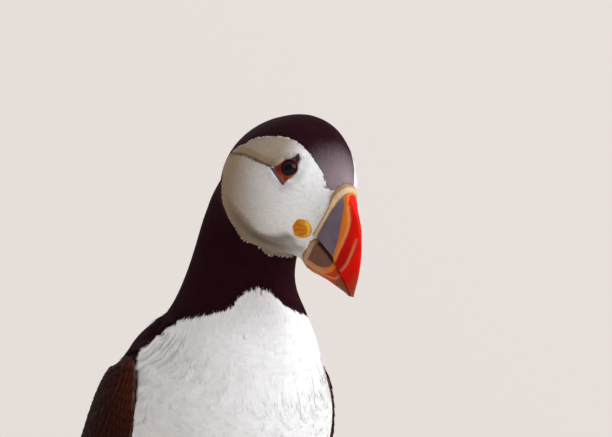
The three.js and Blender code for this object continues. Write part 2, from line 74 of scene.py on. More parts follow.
# Edge of the white face seen from the side: degrees round a point in the cheek, and how far out.
FACE_MIDDLE = (6, -2)
FACE_EDGE = [
    (-180, 20.2), (-170, 20.4), (-160, 17), (-148, 15.5), (-131, 15.5), (-116, 15.6), (-102, 17.7),
    (-92, 19.9), (-80, 20.6), (-72, 40), (36, 40), (41, 22.4), (45, 21.5), (59, 21), (79, 20.8),
    (89, 20.8), (97, 20.6), (104, 20), (114, 19.3), (123, 18.7), (133, 18.3), (152, 18), (164, 18.7),
    (177, 20), (180, 20.2),
]
# The fold behind the eye, and the lower edge of the bulging cheek, forward and up.
FURROW = [(7.3, 9.6), (4, 7.9), (0.8, 6.7), (-3.6, 5.2), (-7.7, 3), (-12.8, -0.5)]
CHEEK_ROLL = [(3, -9.5), (9, -9.8), (11.5, -11), (14, -12), (16.4, -11.6), (19.1, -9.8), (21.3, -7.2)]
# Lower edge of the black collar: degrees round the neck from the front, and its height.
COLLAR_AXIS = (-2.5, -22)
COLLAR_EDGE = [
    (0, 146.4), (9, 145.2), (15, 143), (19, 140.8), (25, 139), (34, 137.9), (48, 136.5), (65, 135.5),
    (78, 133.5), (84, 131), (92, 127.5), (99, 121.5), (104, 114), (108, 104), (112, 60), (180, 0),
]
CHIN_LINE = [(0, -24.5), (9, -23.6), (17, -19.8), (26, -17), (40, -12)]
BACK_EDGE = 97  # degrees round the trunk from the belly, where the black back begins
BACK_TOP = 108  # height below which that edge holds
HEAD_FROM = 150  # height above which the plumage is the head's
BREAST_FROM = 95  # height above which the white of the trunk is the breast's
BELLY_FROM = 66  # and the belly's, with the vent below it

# The bill's outlines in the head's frame, forward and up.
CULMEN = [
    (23.8, 16.4), (29, 13.9), (34, 11.3), (38.3, 8.4), (42, 4.9), (45.4, 0.6), (48.4, -4.8),
    (50.8, -11.7),
]
CUTTING_EDGE = [
    (25.4, -4.2), (30, -4.4), (34.6, -4.8), (38.6, -5.5), (42, -6.9), (45, -8.1), (48, -9.5), (50.6, -11.2),
]
GONYS = [
    (26.3, -15.2), (29.6, -16), (33.4, -15), (37.5, -13.8), (41.5, -13), (45, -12.3), (47.6, -11.9),
    (49.4, -11.8),
]
BILL_ROUND = 2.4  # squareness of the ridge's and the keel's round
BILL_FLAT = 7  # and of the section towards the cutting edge
LOWER_SHARE = 0.94  # the lower half's width, as a share of the upper's
SEAM = 0.3  # gap between the halves
BILL_HALF_WIDTH = [(0, 6.2), (0.25, 5.1), (0.5, 3.9), (0.75, 2.5), (1, 0.8)]
RIDGE_SHARE = [(0, 0.95), (0.12, 0.72), (0.3, 0.42), (1, 0.3)]
KEEL_SHARE = [(0, 0.84), (0.15, 0.64), (0.4, 0.42), (1, 0.36)]

CHEVRON = [
    (26, 16.4), (27.4, 13.8), (29.8, 11.4), (31.7, 8.6), (33.2, 6), (34.8, 3.2), (36.1, 0.6),
    (37.3, -2.7), (38.2, -4.9), (38.7, -7.4), (36.3, -10.1), (33.4, -11.6), (30.3, -12.2), (26, -12.6),
]
# Grooves ahead of the chevron: two on the upper bill and one on the lower.
GROOVES = [
    [(30.6, 12), (33.4, 9.6), (35.3, 7.3), (36.6, 4.6), (37.5, 1.6), (38.2, -1.2), (39.1, -4.4)],
    [(40.3, 5.4), (41.4, 3), (42.4, -0.1), (43, -2.9), (42.9, -5.4), (42.3, -7.4)],
    [(43, -7.9), (42.4, -9.4), (41, -10.8), (38.2, -12.1), (34.8, -13.3)],
]
GROOVE_WIDE = 0.42
CHEVRON_WIDE = 1.5
# The fleshy ridges: shares of the bill's length that they cover, and how far they rise.
CERE = {"reach": (0.0, 0.092), "rise": 0.85}
RIM = {"reach": (0.0, 0.11), "rise": 0.3}
# Points along the bill and round it, and the same for the ridges.
BILL_GRID = (130, 120)
RIDGE_GRID = (26, 150)
ROSETTE = {"forward": 22.3, "left": 8.2, "up": -3.6, "along": 4.4, "tall": 3.6, "thick": 2.4}
ROSETTE_FACES = (0.5, 1, -0.1)
EYE = {"forward": 10.4, "left": 15.6, "up": 12.1, "ball": 4.4, "bulge": 1.0, "sunk": 0.6}
EYE_FACES = (0.34, 1, 0.6)
EYE_RING = {"inner": 2.72, "outer": 3.12, "beads": 36}
PUPIL = 1.15
# Corners of the ring: degrees from forward towards up, and how far out.
EYE_CORNERS = [(100, 3.9), (222, 5.4), (294.5, 5.7)]
# Horn plates above and below the eye, forward and up from its middle.
UPPER_PLATE = [(-1.5, 3), (2.1, 2), (-0.4, 6.6)]
LOWER_PLATE = [(-4.7, -4.2), (2.3, -6), (2.6, -5.1), (-4.4, -3.3)]
PLATE_THICK = 1.5
EYE_BED = (-2.5, 0.3)  # lowest and highest that the skin beside the eye may carry its ring and plates
FEATHERS_FROM = (48, 5)  # the head's feathers point away from here, forward and up
# Rear edge of the cere, where the face's feathers begin: height, and how far forward.
CERE_BACK = [
    (-4, 25.2), (0.8, 26.7), (3.7, 26.9), (6.3, 26.8), (8.2, 26.5), (10.2, 25.7), (11.5, 24.8),
    (17, 24.4),
]
CERE_LOW = (-4, 26.2)  # below this height they begin here instead

# The left wing, folded. Each station: side, forward, up, half the width across the wing, thickness,
# and lean of its outer face towards the back.
WING = [
    (34, 5, 122, 3.5, 3, 16), (37.8, 3, 114, 13.5, 5.5, 14), (39.6, -4, 102.5, 20.5, 7, 14),
    (39.6, -15, 89.5, 22, 7.5, 19), (37.2, -30, 75.5, 21, 7, 26), (31, -47, 62.5, 17.5, 6, 34),
    (22.5, -65, 50.5, 12.5, 4.8, 44), (14.8, -83, 39.5, 7.6, 3.4, 54), (10.5, -98, 30.5, 2.4, 1.8, 62),
]
WING_BOW_RADIUS = 42
WING_BACK_SHARE = 0.5
WING_SQUARENESS = 2.5
TAIL = {
    "forward": -62, "up": 44.5, "length": 37, "drop": 30, "root_half": 10, "tip_half": 18,
    "thick": 3.4, "tip": 1.2, "bow": 3.4, "bow_root": 0.4, "rounding": 0.16,
}
ORIGIN_BACK = 9.2  # how far the stations' origin lies behind the frame's
VANE_THICK = 0.18

# Strands of the coat.
FLATNESS = 0.09  # a strand's thickness, as a share of its width
SOFTNESS = 0.12  # how far a strand's sides turn from the skin's normal
STRAND_ROWS = (0, 0.28, 1)  # where along a strand its rows of points are
# Height of a strand above the skin along its length, as a share of the coat's depth.
LIFT = [(0, -0.12), (0.28, 0.9), (0.6, 1), (1, 0.98)]
HEAD_STRAND = {"length": 3.6, "width": 0.78, "seed": 11}
# The body's tufts: where across a tuft its barbs stand; length, width and spread; and seed.
BODY_TUFTS = {
    "collar": ((0,), 5.0, 0.9, 0.0, 21),
    "trunk": ((-1, -0.6, -0.2, 0.2, 0.6, 1), 8.5, 1.5, 2.3, 22),
    "thigh": ((-0.6, 0.6), 5.0, 1.2, 0.8, 23),
}
THIGH_TUFTS = 1.3  # on each square millimetre
OFF_WING = (0.6, 0.25)  # how far a strand's root, and the rest of it, stay from the wings

# Coverts, by distance from the shoulder along the wing: size at the shoulder and how much it grows,
# gap between feathers in the same way, where the growing ends, and where the rows begin and end.
COVERT_SIZE = (3.6, 3.4)
COVERT_GAP = (2.3, 1.6)
COVERT_GROWN = 60
COVERT_ROWS = (0.5, 84)
COVERT_GRID = (8, 5)
QUILL_GRID = (36, 9)
TAIL_GRID = (30, 9)
TAIL_FEATHERS = 16

# The stage, in metres: each lamp's name, place, width and watts.
LAMPS = (
    ("key", (0.85, -1.15, 1.15), 1.4, 24),
    ("fill", (-1.4, -1.2, 0.6), 1.2, 2.0),
    ("back", (0.1, 1.2, 1.1), 1.0, 4),
)
LAMP_COLOUR = (0.95, 0.97, 1)
LAMP_AIM = (0.0, -0.03, 0.15)
ROOM = {"colour": "#f7eee9", "bright_side": (0.745, 0.596, 0.298), "dim": 0.25, "bright": 0.9}
FLOOR_WIDE = 3.0
# The camera, in millimetres.
CAMERA = {"at": (-938.8, -1774.8, 184.9), "aim": (28.98, -24.23, 169.06), "sensor": 36, "lens": 338.9}


def unit(v):
    """Vectors made one long."""
    return v / np.maximum(np.linalg.norm(v, axis=-1, keepdims=True), 1e-12)


def along(rows, share):
    """Rows of numbers at shares of the way along them, on a smooth curve."""
    rows = np.asarray(rows, float)
    rows = np.vstack([2 * rows[0] - rows[1], rows, 2 * rows[-1] - rows[-2]])
    at = np.clip(np.asarray(share, float), 0, 1) * (len(rows) - 3)
    i = np.minimum(at.astype(int), len(rows) - 4)
    t = (at - i)[..., None]
    a, b, c, d = rows[i], rows[i + 1], rows[i + 2], rows[i + 3]
    return 0.5 * (2 * b + (c - a) * t + (2 * a - 5 * b + 4 * c - d) * t**2 + (3 * b - a - 3 * c + d) * t**3)


def through(pairs, x):
    """A smooth function through pairs of x and value, flat past both ends."""
    xs, values = np.array(pairs, float).T
    x = np.clip(np.asarray(x, float), xs[0], xs[-1])
    i = np.clip(np.searchsorted(xs, x, side="right") - 1, 0, len(xs) - 2)
    share = (i + (x - xs[i]) / (xs[i + 1] - xs[i])) / (len(xs) - 1)
    return along(values[:, None], share)[..., 0]


def step(low, high, x):
    """0 below low, 1 above high, and smooth between them."""
    t = np.clip((np.asarray(x, float) - low) / (high - low), 0, 1)
    return t * t * (3 - 2 * t)


def line_distance(line, x, y):
    """For each point: distance from a line, height above it, share of its run, and distance to its left."""
    line = along(line, np.linspace(0, 1, 60))
    best = np.full(x.shape, 1e9)
    above, share, left = np.zeros(x.shape), np.zeros(x.shape), np.zeros(x.shape)
    for k, (a, b) in enumerate(zip(line[:-1], line[1:])):
        run = b - a
        t = np.clip(((x - a[0]) * run[0] + (y - a[1]) * run[1]) / (run @ run), 0, 1)
        dx, dy = x - a[0] - t * run[0], y - a[1] - t * run[1]
        away = np.hypot(dx, dy)
        nearer = away < best
        best = np.where(nearer, away, best)
        above = np.where(nearer, dy, above)
        share = np.where(nearer, (k + t) / (len(line) - 1), share)
        side = run[0] * (y - a[1]) - run[1] * (x - a[0])
        left = np.where(nearer, np.sign(side) * away, left)
    return best, above, share, left


HEAD_SPIN = np.array(
    Matrix.Rotation(math.radians(HEAD_TURN["yaw"]), 3, "Z")
    @ Matrix.Rotation(math.radians(HEAD_TURN["pitch"]), 3, "X")
    @ Matrix.Rotation(math.radians(HEAD_TURN["roll"]), 3, "Y")
)


def to_head(points):
    """Forward, left and up in the head's frame, of points in millimetres."""
    local = (points - np.array(HEAD_AT)) @ HEAD_SPIN
    return -local[..., 1], local[..., 0], local[..., 2]


def from_head(forward, left, up):
    """Points in millimetres, from the head's frame."""
    forward, left, up = np.broadcast_arrays(forward, left, up)
    return np.stack([left, -forward, up], -1) @ HEAD_SPIN.T + np.array(HEAD_AT)


def head_way(forward, left, up):
    """A direction given in the head's frame."""
    return np.array([left, -forward, up], float) @ HEAD_SPIN.T


def cere_back(up):
    """How far forward the face's feathers begin, at a height in the head's frame."""
    return np.where(up > CERE_LOW[0], through(CERE_BACK, up), CERE_LOW[1])


def axis_frame(points):
    """For each point: share along the bird's axis, the axis's way there, and degrees round from the belly."""
    line = along(AXIS, np.linspace(0, 1, 161))
    run = unit(np.gradient(line, axis=0))
    nearest = np.empty(len(points), int)
    for k in range(0, len(points), 20000):
        away = ((points[k : k + 20000, None] - line[None]) ** 2).sum(-1)
        nearest[k : k + 20000] = away.argmin(1)
    way = run[nearest]
    belly = unit(np.cross(np.array([1.0, 0, 0]) - way * way[:, :1], way))
    side = np.cross(way, belly)
    out = points - line[nearest]
    angle = np.degrees(np.arctan2((out * side).sum(1), (out * belly).sum(1)))
    return nearest / 160, way, angle


# ------------------------------------------------------------------ markings and painted shade


def markings(points):
    """How dark and how taupe the plumage is at each point in millimetres, and how much shade is painted on
    it.

    Each step's two numbers are the distances between which a marking fades in."""
    f, _, u = to_head(points)
    x, y = f - FACE_MIDDLE[0], u - FACE_MIDDLE[1]
    turn, reach = np.degrees(np.arctan2(y, x)), np.hypot(x, y)
    edge = through(FACE_EDGE, turn)
    hood = np.maximum(step(-0.5, 0.5, reach - edge), step(0.6, -0.6, u - through(CHIN_LINE, f)))
    _, _, angle = axis_frame(points)
    aside, before = np.abs(points[:, 0] - COLLAR_AXIS[0]), COLLAR_AXIS[1] - points[:, 1]
    front = np.degrees(np.arctan2(aside, before))
    collar = step(-1.4, 1.4, points[:, 2] - through(COLLAR_EDGE, front))
    back = step(-2, 2, np.abs(angle) - BACK_EDGE)
    low = step(BACK_TOP + 3, BACK_TOP - 3, points[:, 2])
    rump = step(56, 60, points[:, 1]) * step(36, 39, points[:, 2])
    below = np.maximum(back * low + collar * (1 - low), rump)
    on_head = points[:, 2] > HEAD_FROM
    dark = np.where(on_head, hood, below)
    away, above, _, _ = line_distance(FURROW, f, u)
    level = 0.8 * f + 0.6 * u
    lid = step(-0.3, 0.8, above) * step(21, 12, level) * step(-15, -11, f)
    # Painted shadow along the fold behind the eye.
    furrow_shade = np.exp(-((away / 0.5) ** 2)) * step(-13.5, -11, f)
    roll, under, _, _ = line_distance(CHEEK_ROLL, f, u)
    # Painted shadow under the lower edge of the bulging cheek.
    shadow = np.exp(-((roll / 3) ** 2)) * step(1.2, -0.8, under) * (0.4 + 0.5 * step(6, 15, f))
    # Taupe at the rear of the cheek: partly the face's own grey, partly painted shade on the side turned from
    # the light.
    rear = step(18, -7, level) * step(3, 0, above)
    # Painted shade on the throat below the cheek.
    throat = step(-0.5, -3, under) * step(9, 4, roll) * step(0, 8, f) * step(0.5, 3.5, edge - reach)
    taupe = np.clip(0.88 * lid + rear, 0, 1) * on_head * (1 - hood)
    # All painted shade and shadow: in the fold, under the cheek and on the throat.
    shade = np.clip(furrow_shade + 0.9 * shadow + 0.55 * throat, 0, 1) * on_head * (1 - hood)
    return dark, taupe, shade


def brow_highlight_of(points):
    """How much painted highlight lightens the hood towards the bill."""
    f, _, u = to_head(points)
    return step(9, 24, f) * step(2, 8, u) * (points[:, 2] > HEAD_FROM)


# ------------------------------------------------------------------ small tools


def linear(code):
    """A colour written as sRGB hex, in the linear values that shaders use."""
    channels = [int(code[i : i + 2], 16) / 255 for i in (1, 3, 5)]
    return tuple(c / 12.92 if c <= 0.04045 else ((c + 0.055) / 1.055) ** 2.4 for c in channels) + (1.0,)


def add_node(tree, kind, inputs=None, **settings):
    """Adds a node with its settings, and sets or links its inputs."""
    node = tree.nodes.new(kind)
    for name, value in settings.items():
        setattr(node, name, value)
    for socket, value in (inputs or {}).items():
        if isinstance(value, bpy.types.NodeSocket):
            tree.links.new(value, node.inputs[socket])
        else:
            node.inputs[socket].default_value = value
    return node


def new_material(name):
    """A material with its tree cleared, or None and the made one where it is there already."""
    made = bpy.data.materials.get(name)
    if made:
        return made, None
    made = bpy.data.materials.new(name)
    made.use_nodes = True
    made.node_tree.nodes.clear()
    return made, made.node_tree


def shade(tree, colour, roughness, height=None, bump=0.0003, strength=1.0, **constants):
    """Ends a material: one principled shader, with bump from a height between 0 and 1."""
    inputs = {"Base Color": colour, "Roughness": roughness}
    if height is not None:
        relief = add_node(tree, "ShaderNodeBump", {"Height": height, "Distance": bump, "Strength": strength})
        inputs["Normal"] = relief.outputs[0]
    inputs |= {name.replace("_", " "): value for name, value in constants.items()}
    surface = add_node(tree, "ShaderNodeBsdfPrincipled", inputs)
    add_node(tree, "ShaderNodeOutputMaterial", {"Surface": surface.outputs[0]})


def alone(piece):
    """Selects one object only and makes it active."""
    bpy.ops.object.select_all(action="DESELECT")
    piece.select_set(True)
    bpy.context.view_layer.objects.active = piece


def modify(piece, kind, **settings):
    """Adds a modifier and applies it."""
    alone(piece)
    modifier = piece.modifiers.new(kind.title(), kind)
    for name, value in settings.items():
        setattr(modifier, name, value)
    bpy.ops.object.modifier_apply(modifier=modifier.name)


def points_of(piece):
    """A mesh's vertices, in millimetres."""
    co = np.empty(len(piece.data.vertices) * 3, np.float32)
    piece.data.vertices.foreach_get("co", co)
    return co.reshape(-1, 3).astype(float) / MM


def move_points(piece, points):
    """Puts a mesh's vertices at places in millimetres."""
    piece.data.vertices.foreach_set("co", (points * MM).astype(np.float32).ravel())
    piece.data.update()


def normals_of(piece):
    """The way out of a mesh at each of its vertices."""
    normal = np.empty(len(piece.data.vertices) * 3, np.float32)
    piece.data.vertex_normals.foreach_get("vector", normal)
    return normal.reshape(-1, 3).astype(float)


def mesh_object(name, points, faces, smooth=True):
    """An object from points in millimetres and an array of triangles or of quads."""
    mesh = bpy.data.meshes.new(name)
    corners = faces.shape[1]
    mesh.vertices.add(len(points))
    mesh.loops.add(faces.size)
    mesh.polygons.add(len(faces))
    mesh.vertices.foreach_set("co", (points * MM).astype(np.float32).ravel())
    mesh.loops.foreach_set("vertex_index", faces.astype(np.int32).ravel())
    mesh.polygons.foreach_set("loop_start", np.arange(0, faces.size, corners, dtype=np.int32))
    mesh.polygons.foreach_set("use_smooth", np.full(len(faces), smooth))
    mesh.update(calc_edges=True)
    piece = bpy.data.objects.new(name, mesh)
    bpy.context.scene.collection.objects.link(piece)
    return piece


def set_values(piece, name, values):
    """Keeps one number for each vertex under a name that materials can read."""
    held = piece.data.attributes.get(name) or piece.data.attributes.new(name, "FLOAT", "POINT")
    held.data.foreach_set("value", np.asarray(values, np.float32))


def get_values(piece, name):
    """The numbers kept under a name."""
    values = np.empty(len(piece.data.vertices), np.float32)
    piece.data.attributes[name].data.foreach_get("value", values)
    return values.astype(float)


def smooth(piece):
    """Shades a piece smooth all over."""
    piece.data.polygons.foreach_set("use_smooth", np.full(len(piece.data.polygons), True))


def cover(piece, material):
    """Gives a piece one material in place of what it has."""
    piece.data.materials.clear()
    piece.data.materials.append(material)


def solid_tree(node):
    """A solid's surface, for finding the nearest place on it."""
    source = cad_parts[node].data
    return BVHTree.FromPolygons([v.co for v in source.vertices], [p.vertices for p in source.polygons])


def hand_over(piece, slot, *nodes):
    """Rides the piece on the body, and hides the nodes that it stands for. The slot is not used."""
    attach(piece, BODY)
    if nodes:
        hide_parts(*nodes)


def neighbours_mean(piece, values, rounds):
    """Values smoothed over a mesh's edges."""
    edges = np.empty(len(piece.data.edges) * 2, np.int32)
    piece.data.edges.foreach_get("vertices", edges)
    a, b = edges.reshape(-1, 2).T
    count = np.bincount(a, minlength=len(values)) + np.bincount(b, minlength=len(values))
    for _ in range(rounds):
        total = np.zeros_like(values)
        np.add.at(total, a, values[b])
        np.add.at(total, b, values[a])
        values = 0.5 * values + 0.5 * total / np.maximum(count, 1)[:, None]
    return values


# ------------------------------------------------------------------ materials


def layered(tree, colour, *layers):
    """Lays colours over each other, each as strong as the vertex value of its name."""
    for name, over in layers:
        share = add_node(tree, "ShaderNodeAttribute", attribute_name=name).outputs["Fac"]
        mix = add_node(tree, "ShaderNodeMix", {0: share, 6: colour, 7: over}, data_type="RGBA")
        colour = mix.outputs[2]
    return colour


def mottled(tree, place, colour, other, size):
    """Two colours in soft patches about size millimetres across."""
    patches = add_node(tree, "ShaderNodeTexNoise", {"Vector": place, "Scale": 1000 / size, "Detail": 3})
    mix = add_node(tree, "ShaderNodeMix", {0: patches.outputs[0], 6: colour, 7: other}, data_type="RGBA")
    return mix.outputs[2]


def plumage(name, colours, streak, gloss):
    """Contour feathers: keratin barbs, matt and slightly silky, each tuft a little lighter or darker."""
    made, tree = new_material(name)
    if tree is None:
        return made
    place = add_node(tree, "ShaderNodeTexCoord").outputs["Object"]
    # Cloudy variation about 11 mm across.
    cloud = add_node(tree, "ShaderNodeTexNoise", {"Vector": place, "Scale": 90, "Detail": 2}).outputs[0]
    white, hood = (
        add_node(tree, "ShaderNodeMix", {0: cloud, 6: colours[one], 7: colours[other]}, data_type="RGBA")
        for one, other in (("white", "white_low"), ("black", "black_low"))
    )
    # The shade layer is painted shade and shadow; taupe is partly painted shade at the rear of the cheek.
    pale = layered(tree, white.outputs[2], ("taupe", colours["taupe"]), ("shade", colours["shade"]))
    # Painted highlight on the forehead, lightening the hood towards the bill.
    hood = layered(tree, hood.outputs[2], ("brow_highlight", colours["brow_highlight"]))
    both = layered(tree, pale, ("dark", hood))
    tone = add_node(tree, "ShaderNodeAttribute", attribute_name="tone").outputs["Fac"]
    span = {"Value": tone, "To Min": 1 - streak, "To Max": 1 + streak}
    lighter = add_node(tree, "ShaderNodeMapRange", span)
    colour = add_node(tree, "ShaderNodeVectorMath", {0: both, 1: lighter.outputs[0]}, operation="MULTIPLY")
    shade(tree, colour.outputs[0], gloss, Specular_IOR_Level=0.02)
    return made


def horn(name, colours, base, lower):
    """Bill sheath: keratin in fine growth layers, satin, red ahead of the chevron and grey behind it."""
    made, tree = new_material(name)
    if tree is None:
        return made
    place = add_node(tree, "ShaderNodeTexCoord").outputs["Object"]
    front = mottled(tree, place, colours[base], colours["bill_deep"], 5)
    grey, deeper = ("plate_brown", "plate_brown_low") if lower else ("plate", "plate_low")
    plate = mottled(tree, place, colours[grey], colours[deeper], 3.5)
    colour = layered(
        tree, front,
        ("deep", colours["bill_deep"]), ("tip", colours["bill_tip"]), ("band", colours["chevron"]),
        ("pale", colours["groove"]), ("plate", plate), ("lip", colours["lip"]),
        ("cream", colours["rim_pale"]),
    )
    # Growth layers, drawn about half a millimetre apart so that they show.
    layers = add_node(tree, "ShaderNodeTexNoise", {"Vector": place, "Scale": 1400, "Detail": 2})
    shade(tree, colour, 0.45 if lower else 0.42, layers.outputs[0], 0.00006, 0.5, Specular_IOR_Level=0.08)
    return made


def fleshy(name, colour, other, pit, layers, gloss=0.5):
    """Bare skin of the face: soft, waxy and finely pitted."""
    made, tree = new_material(name)
    if tree is None:
        return made
    place = add_node(tree, "ShaderNodeTexCoord").outputs["Object"]
    base = mottled(tree, place, colour, other, 2.2)
    pits = add_node(tree, "ShaderNodeTexVoronoi", {"Vector": place, "Scale": 1000 / pit, "Randomness": 0.8})
    colour = layered(tree, base, *layers)
    shade(tree, colour, gloss, pits.outputs["Distance"], 0.0002, 0.6, Specular_IOR_Level=0.2)
    return made


def eyeball(name, colours):
    """Wet cornea over a dark iris: one glossy coat over near-black brown, with a black pupil."""
    made, tree = new_material(name)
    if tree is None:
        return made
    place = add_node(tree, "ShaderNodeTexCoord").outputs["Object"]
    iris = mottled(tree, place, colours["iris"], colours["iris_low"], 1.2)
    colour = layered(tree, iris, ("pupil", linear("#050305")))
    shade(tree, colour, 0.08, Specular_IOR_Level=0.12)
    return made


def vaned(name, colours):
    """Flight feathers and coverts: firm barbs, slightly glossy, with a dark shaft and a worn pale fringe."""
    made, tree = new_material(name)
    if tree is None:
        return made
    place = add_node(tree, "ShaderNodeTexCoord").outputs["Object"]
    base = mottled(tree, place, colours["wing"], colours["wing_low"], 6)
    colour = layered(
        tree, base,
        ("tone", colours["wing_low"]), ("rust", colours["wing_rust"]), ("fringe", colours["wing_fringe"]),
        ("edge", colours["wing_edge"]), ("shaft", colours["wing_low"]),
    )
    # Barbs, about half a millimetre apart so that they show.
    barbs = add_node(tree, "ShaderNodeTexNoise", {"Vector": place, "Scale": 2200, "Detail": 1})
    shade(tree, colour, 0.7, barbs.outputs[0], 0.00008, 0.4, Specular_IOR_Level=0.03)
    return made


def leg_scales(name, colours):
    """Leg skin: orange scutes and webs, waxy, paler on the ridges, with painted shade making the creases
    browner.
    """
    made, tree = new_material(name)
    if tree is None:
        return made
    place = add_node(tree, "ShaderNodeTexCoord").outputs["Object"]
    base = mottled(tree, place, colours["leg"], colours["leg_low"], 5)
    # Painted shade in the creases between the scutes.
    colour = layered(tree, base, ("crease_shade", colours["leg_crease"]))
    # Small scales between the scutes, about 0.9 mm across.
    scales = add_node(tree, "ShaderNodeTexVoronoi", {"Vector": place, "Scale": 1100, "Randomness": 0.6})
    shade(tree, colour, 0.45, scales.outputs["Distance"], 0.00025, 0.6)
    return made

def slate(name, colours):
    """Dark horn: dense keratin, satin, slate-grey on the face and black on the toes."""
    made, tree = new_material(name)
    if tree is None:
        return made
    place = add_node(tree, "ShaderNodeTexCoord").outputs["Object"]
    pair = ("claw", "claw_low") if "Claw" in name else ("slate", "slate_low")
    colour = mottled(tree, place, colours[pair[0]], colours[pair[1]], 1.5)
    grain = add_node(tree, "ShaderNodeTexNoise", {"Vector": place, "Scale": 2500, "Detail": 2})
    shade(tree, colour, 0.35, grain.outputs[0], 0.00005, 0.4)
    return made


# ------------------------------------------------------------------ forms


def lofted(name, rings):
    """A closed body through rings of points, with fanned ends."""
    rows, ring, _ = rings.shape
    points = np.vstack([rings.reshape(-1, 3), rings[0].mean(0), rings[-1].mean(0)])
    here = np.arange(ring)
    there = (here + 1) % ring
    a, b = (np.arange(rows - 1)[:, None] * ring + each for each in (here, there))
    last = (rows - 1) * ring
    faces = np.concatenate([
        np.stack([a, b, b + ring], -1).reshape(-1, 3),
        np.stack([a, b + ring, a + ring], -1).reshape(-1, 3),
        np.stack([there, here, np.full(ring, rows * ring)], 1),
        np.stack([last + here, last + there, np.full(ring, rows * ring + 1)], 1),
    ])
    a, b, c = (points[faces[:, k]] - points.mean(0) for k in range(3))
    if (a * np.cross(b, c)).sum() < 0:
        faces = faces[:, ::-1]
    return mesh_object(name, points, faces)


def even_ring(count, above, below):
    """Points of a closed outline of half-axes one, evenly spaced: squareness above and below its middle."""
    angle = np.linspace(0, 2 * math.pi, 1441)
    c, s = np.cos(angle), np.sin(angle)
    power = 2 / np.where(s > 0, above, below)
    c, s = np.sign(c) * np.abs(c) ** power, np.sign(s) * np.abs(s) ** power
    run = np.concatenate([[0], np.cumsum(np.hypot(np.diff(c), np.diff(s)))])
    at = np.linspace(0, run[-1], count, endpoint=False)
    return np.interp(at, run, c), np.interp(at, run, s)


def bill_half(name, edge, outer, edge_share, outer_share, reach, swell, steps, ring):
    """Half of the bill, or the ridge at its base, between the cutting edge and an outer outline."""
    share = np.linspace(0, 1, steps + 1)
    t = reach[0] + (reach[1] - reach[0]) * share
    low, high = along(edge, t), along(outer, t)
    c, s = even_ring(ring, BILL_ROUND, BILL_FLAT)
    height = (s + 1) / 2
    out = swell * np.sqrt(np.sin(math.pi * np.clip(share, 0.01, 0.99)))[:, None]
    tall = np.linalg.norm(high - low, axis=1)[:, None]
    narrow = through(outer_share, t)[:, None]
    width = through(BILL_HALF_WIDTH, t)[:, None] * (edge_share + (narrow - edge_share) * height)
    lift = np.where(s > 0, s * out / tall, 0)
    flat = low[:, None] + (high - low)[:, None] * (height + lift)[..., None]
    return lofted(name, from_head(flat[..., 0], c * (width + out), flat[..., 1]))


def face_frame(place, faces, sign):
    """A frame on the face: its origin, and its x (backward on the left), y (upward) and z (outward) axes."""
    out = unit(head_way(faces[0], sign * faces[1], faces[2]))
    across = unit(np.cross(head_way(0, 0, 1), out))
    origin = from_head(place["forward"], sign * place["left"], place["up"])
    return origin - out * place.get("sunk", 0), np.stack([across, np.cross(out, across), out])


def plates(name, top, normal, thick):
    """Thin closed plates: grids of points (plate, row, column) given a lower side; all in one mesh."""
    count, rows, cols, _ = top.shape
    under = top - normal * thick[..., None]
    points = np.stack([top, under], 1).reshape(-1, 3)
    each = rows * cols
    grid = np.arange(each).reshape(rows, cols)
    a, b, c, d = grid[:-1, :-1], grid[:-1, 1:], grid[1:, 1:], grid[1:, :-1]
    upper = np.stack([a, b, c, d], -1).reshape(-1, 4)
    lower = upper[:, ::-1] + each
    border = np.concatenate([grid[0], grid[1:, -1], grid[-1, -2::-1], grid[-2:0:-1, 0]])
    after = np.roll(border, -1)
    rim = np.stack([after, border, border + each, after + each], -1)
    template = np.concatenate([upper, lower, rim])
    faces = (template[None] + (np.arange(count) * 2 * each)[:, None, None]).reshape(-1, 4)
    corner = points[faces[: len(template)]]
    middle = points[: 2 * each].mean(0)
    facing = np.cross(corner[:, 2] - corner[:, 0], corner[:, 3] - corner[:, 1])
    if (facing * (corner.mean(1) - middle)).sum() < 0:
        faces = faces[:, ::-1]
    return mesh_object(name, points, faces)


def plate_values(piece, **values):
    """Keeps values given on the plates' grids, on their upper and lower sides alike."""
    for name, value in values.items():
        count = value.shape[0]
        both = np.repeat(value.reshape(count, 1, -1), 2, 1)
        set_values(piece, name, both.ravel())


# ------------------------------------------------------------------ skin


FLESH = ("trunk", "neck", "head", "thigh_left", "thigh_right", "wing_left", "wing_right")
LEGS = ("tarsus_left", "tarsus_right", "foot_left", "foot_right")
# Nodes that the skin also runs under, so that nothing gapes beside them.
UNDERLAY = ("cere", "mandible_rim", "eye_left", "eye_right", "eye_frame_left", "eye_frame_right")


def joined(pieces):
    """Joins objects into the first of them."""
    alone(pieces[0])
    for piece in pieces:
        piece.select_set(True)
    bpy.ops.object.join()
    return bpy.context.view_layer.objects.active


def shell_of(name, nodes, grow, voxel, rounds):
    """One closed shell round copies of some nodes, grown so that the gaps between them close."""
    copies = []
    for node in nodes:
        copy = bpy.data.objects.new(name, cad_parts[node].data.copy())
        bpy.context.scene.collection.objects.link(copy)
        copies.append(copy)
    piece = joined(copies)
    piece.data.materials.clear()
    bpy.ops.object.mode_set(mode="EDIT")
    bpy.ops.mesh.select_all(action="SELECT")
    bpy.ops.mesh.remove_doubles(threshold=1e-5)
    bpy.ops.object.mode_set(mode="OBJECT")
    modify(piece, "DISPLACE", strength=grow * MM, mid_level=0)
    modify(piece, "REMESH", mode="VOXEL", voxel_size=voxel * MM)
    modify(piece, "SMOOTH", factor=0.5, iterations=rounds)
    return piece


def from_eye(points):
    """Distance from the middle of the nearer eye, in millimetres."""
    f, l, u = to_head(points)
    return np.sqrt((f - EYE["forward"]) ** 2 + (np.abs(l) - EYE["left"]) ** 2 + (u - EYE["up"]) ** 2)


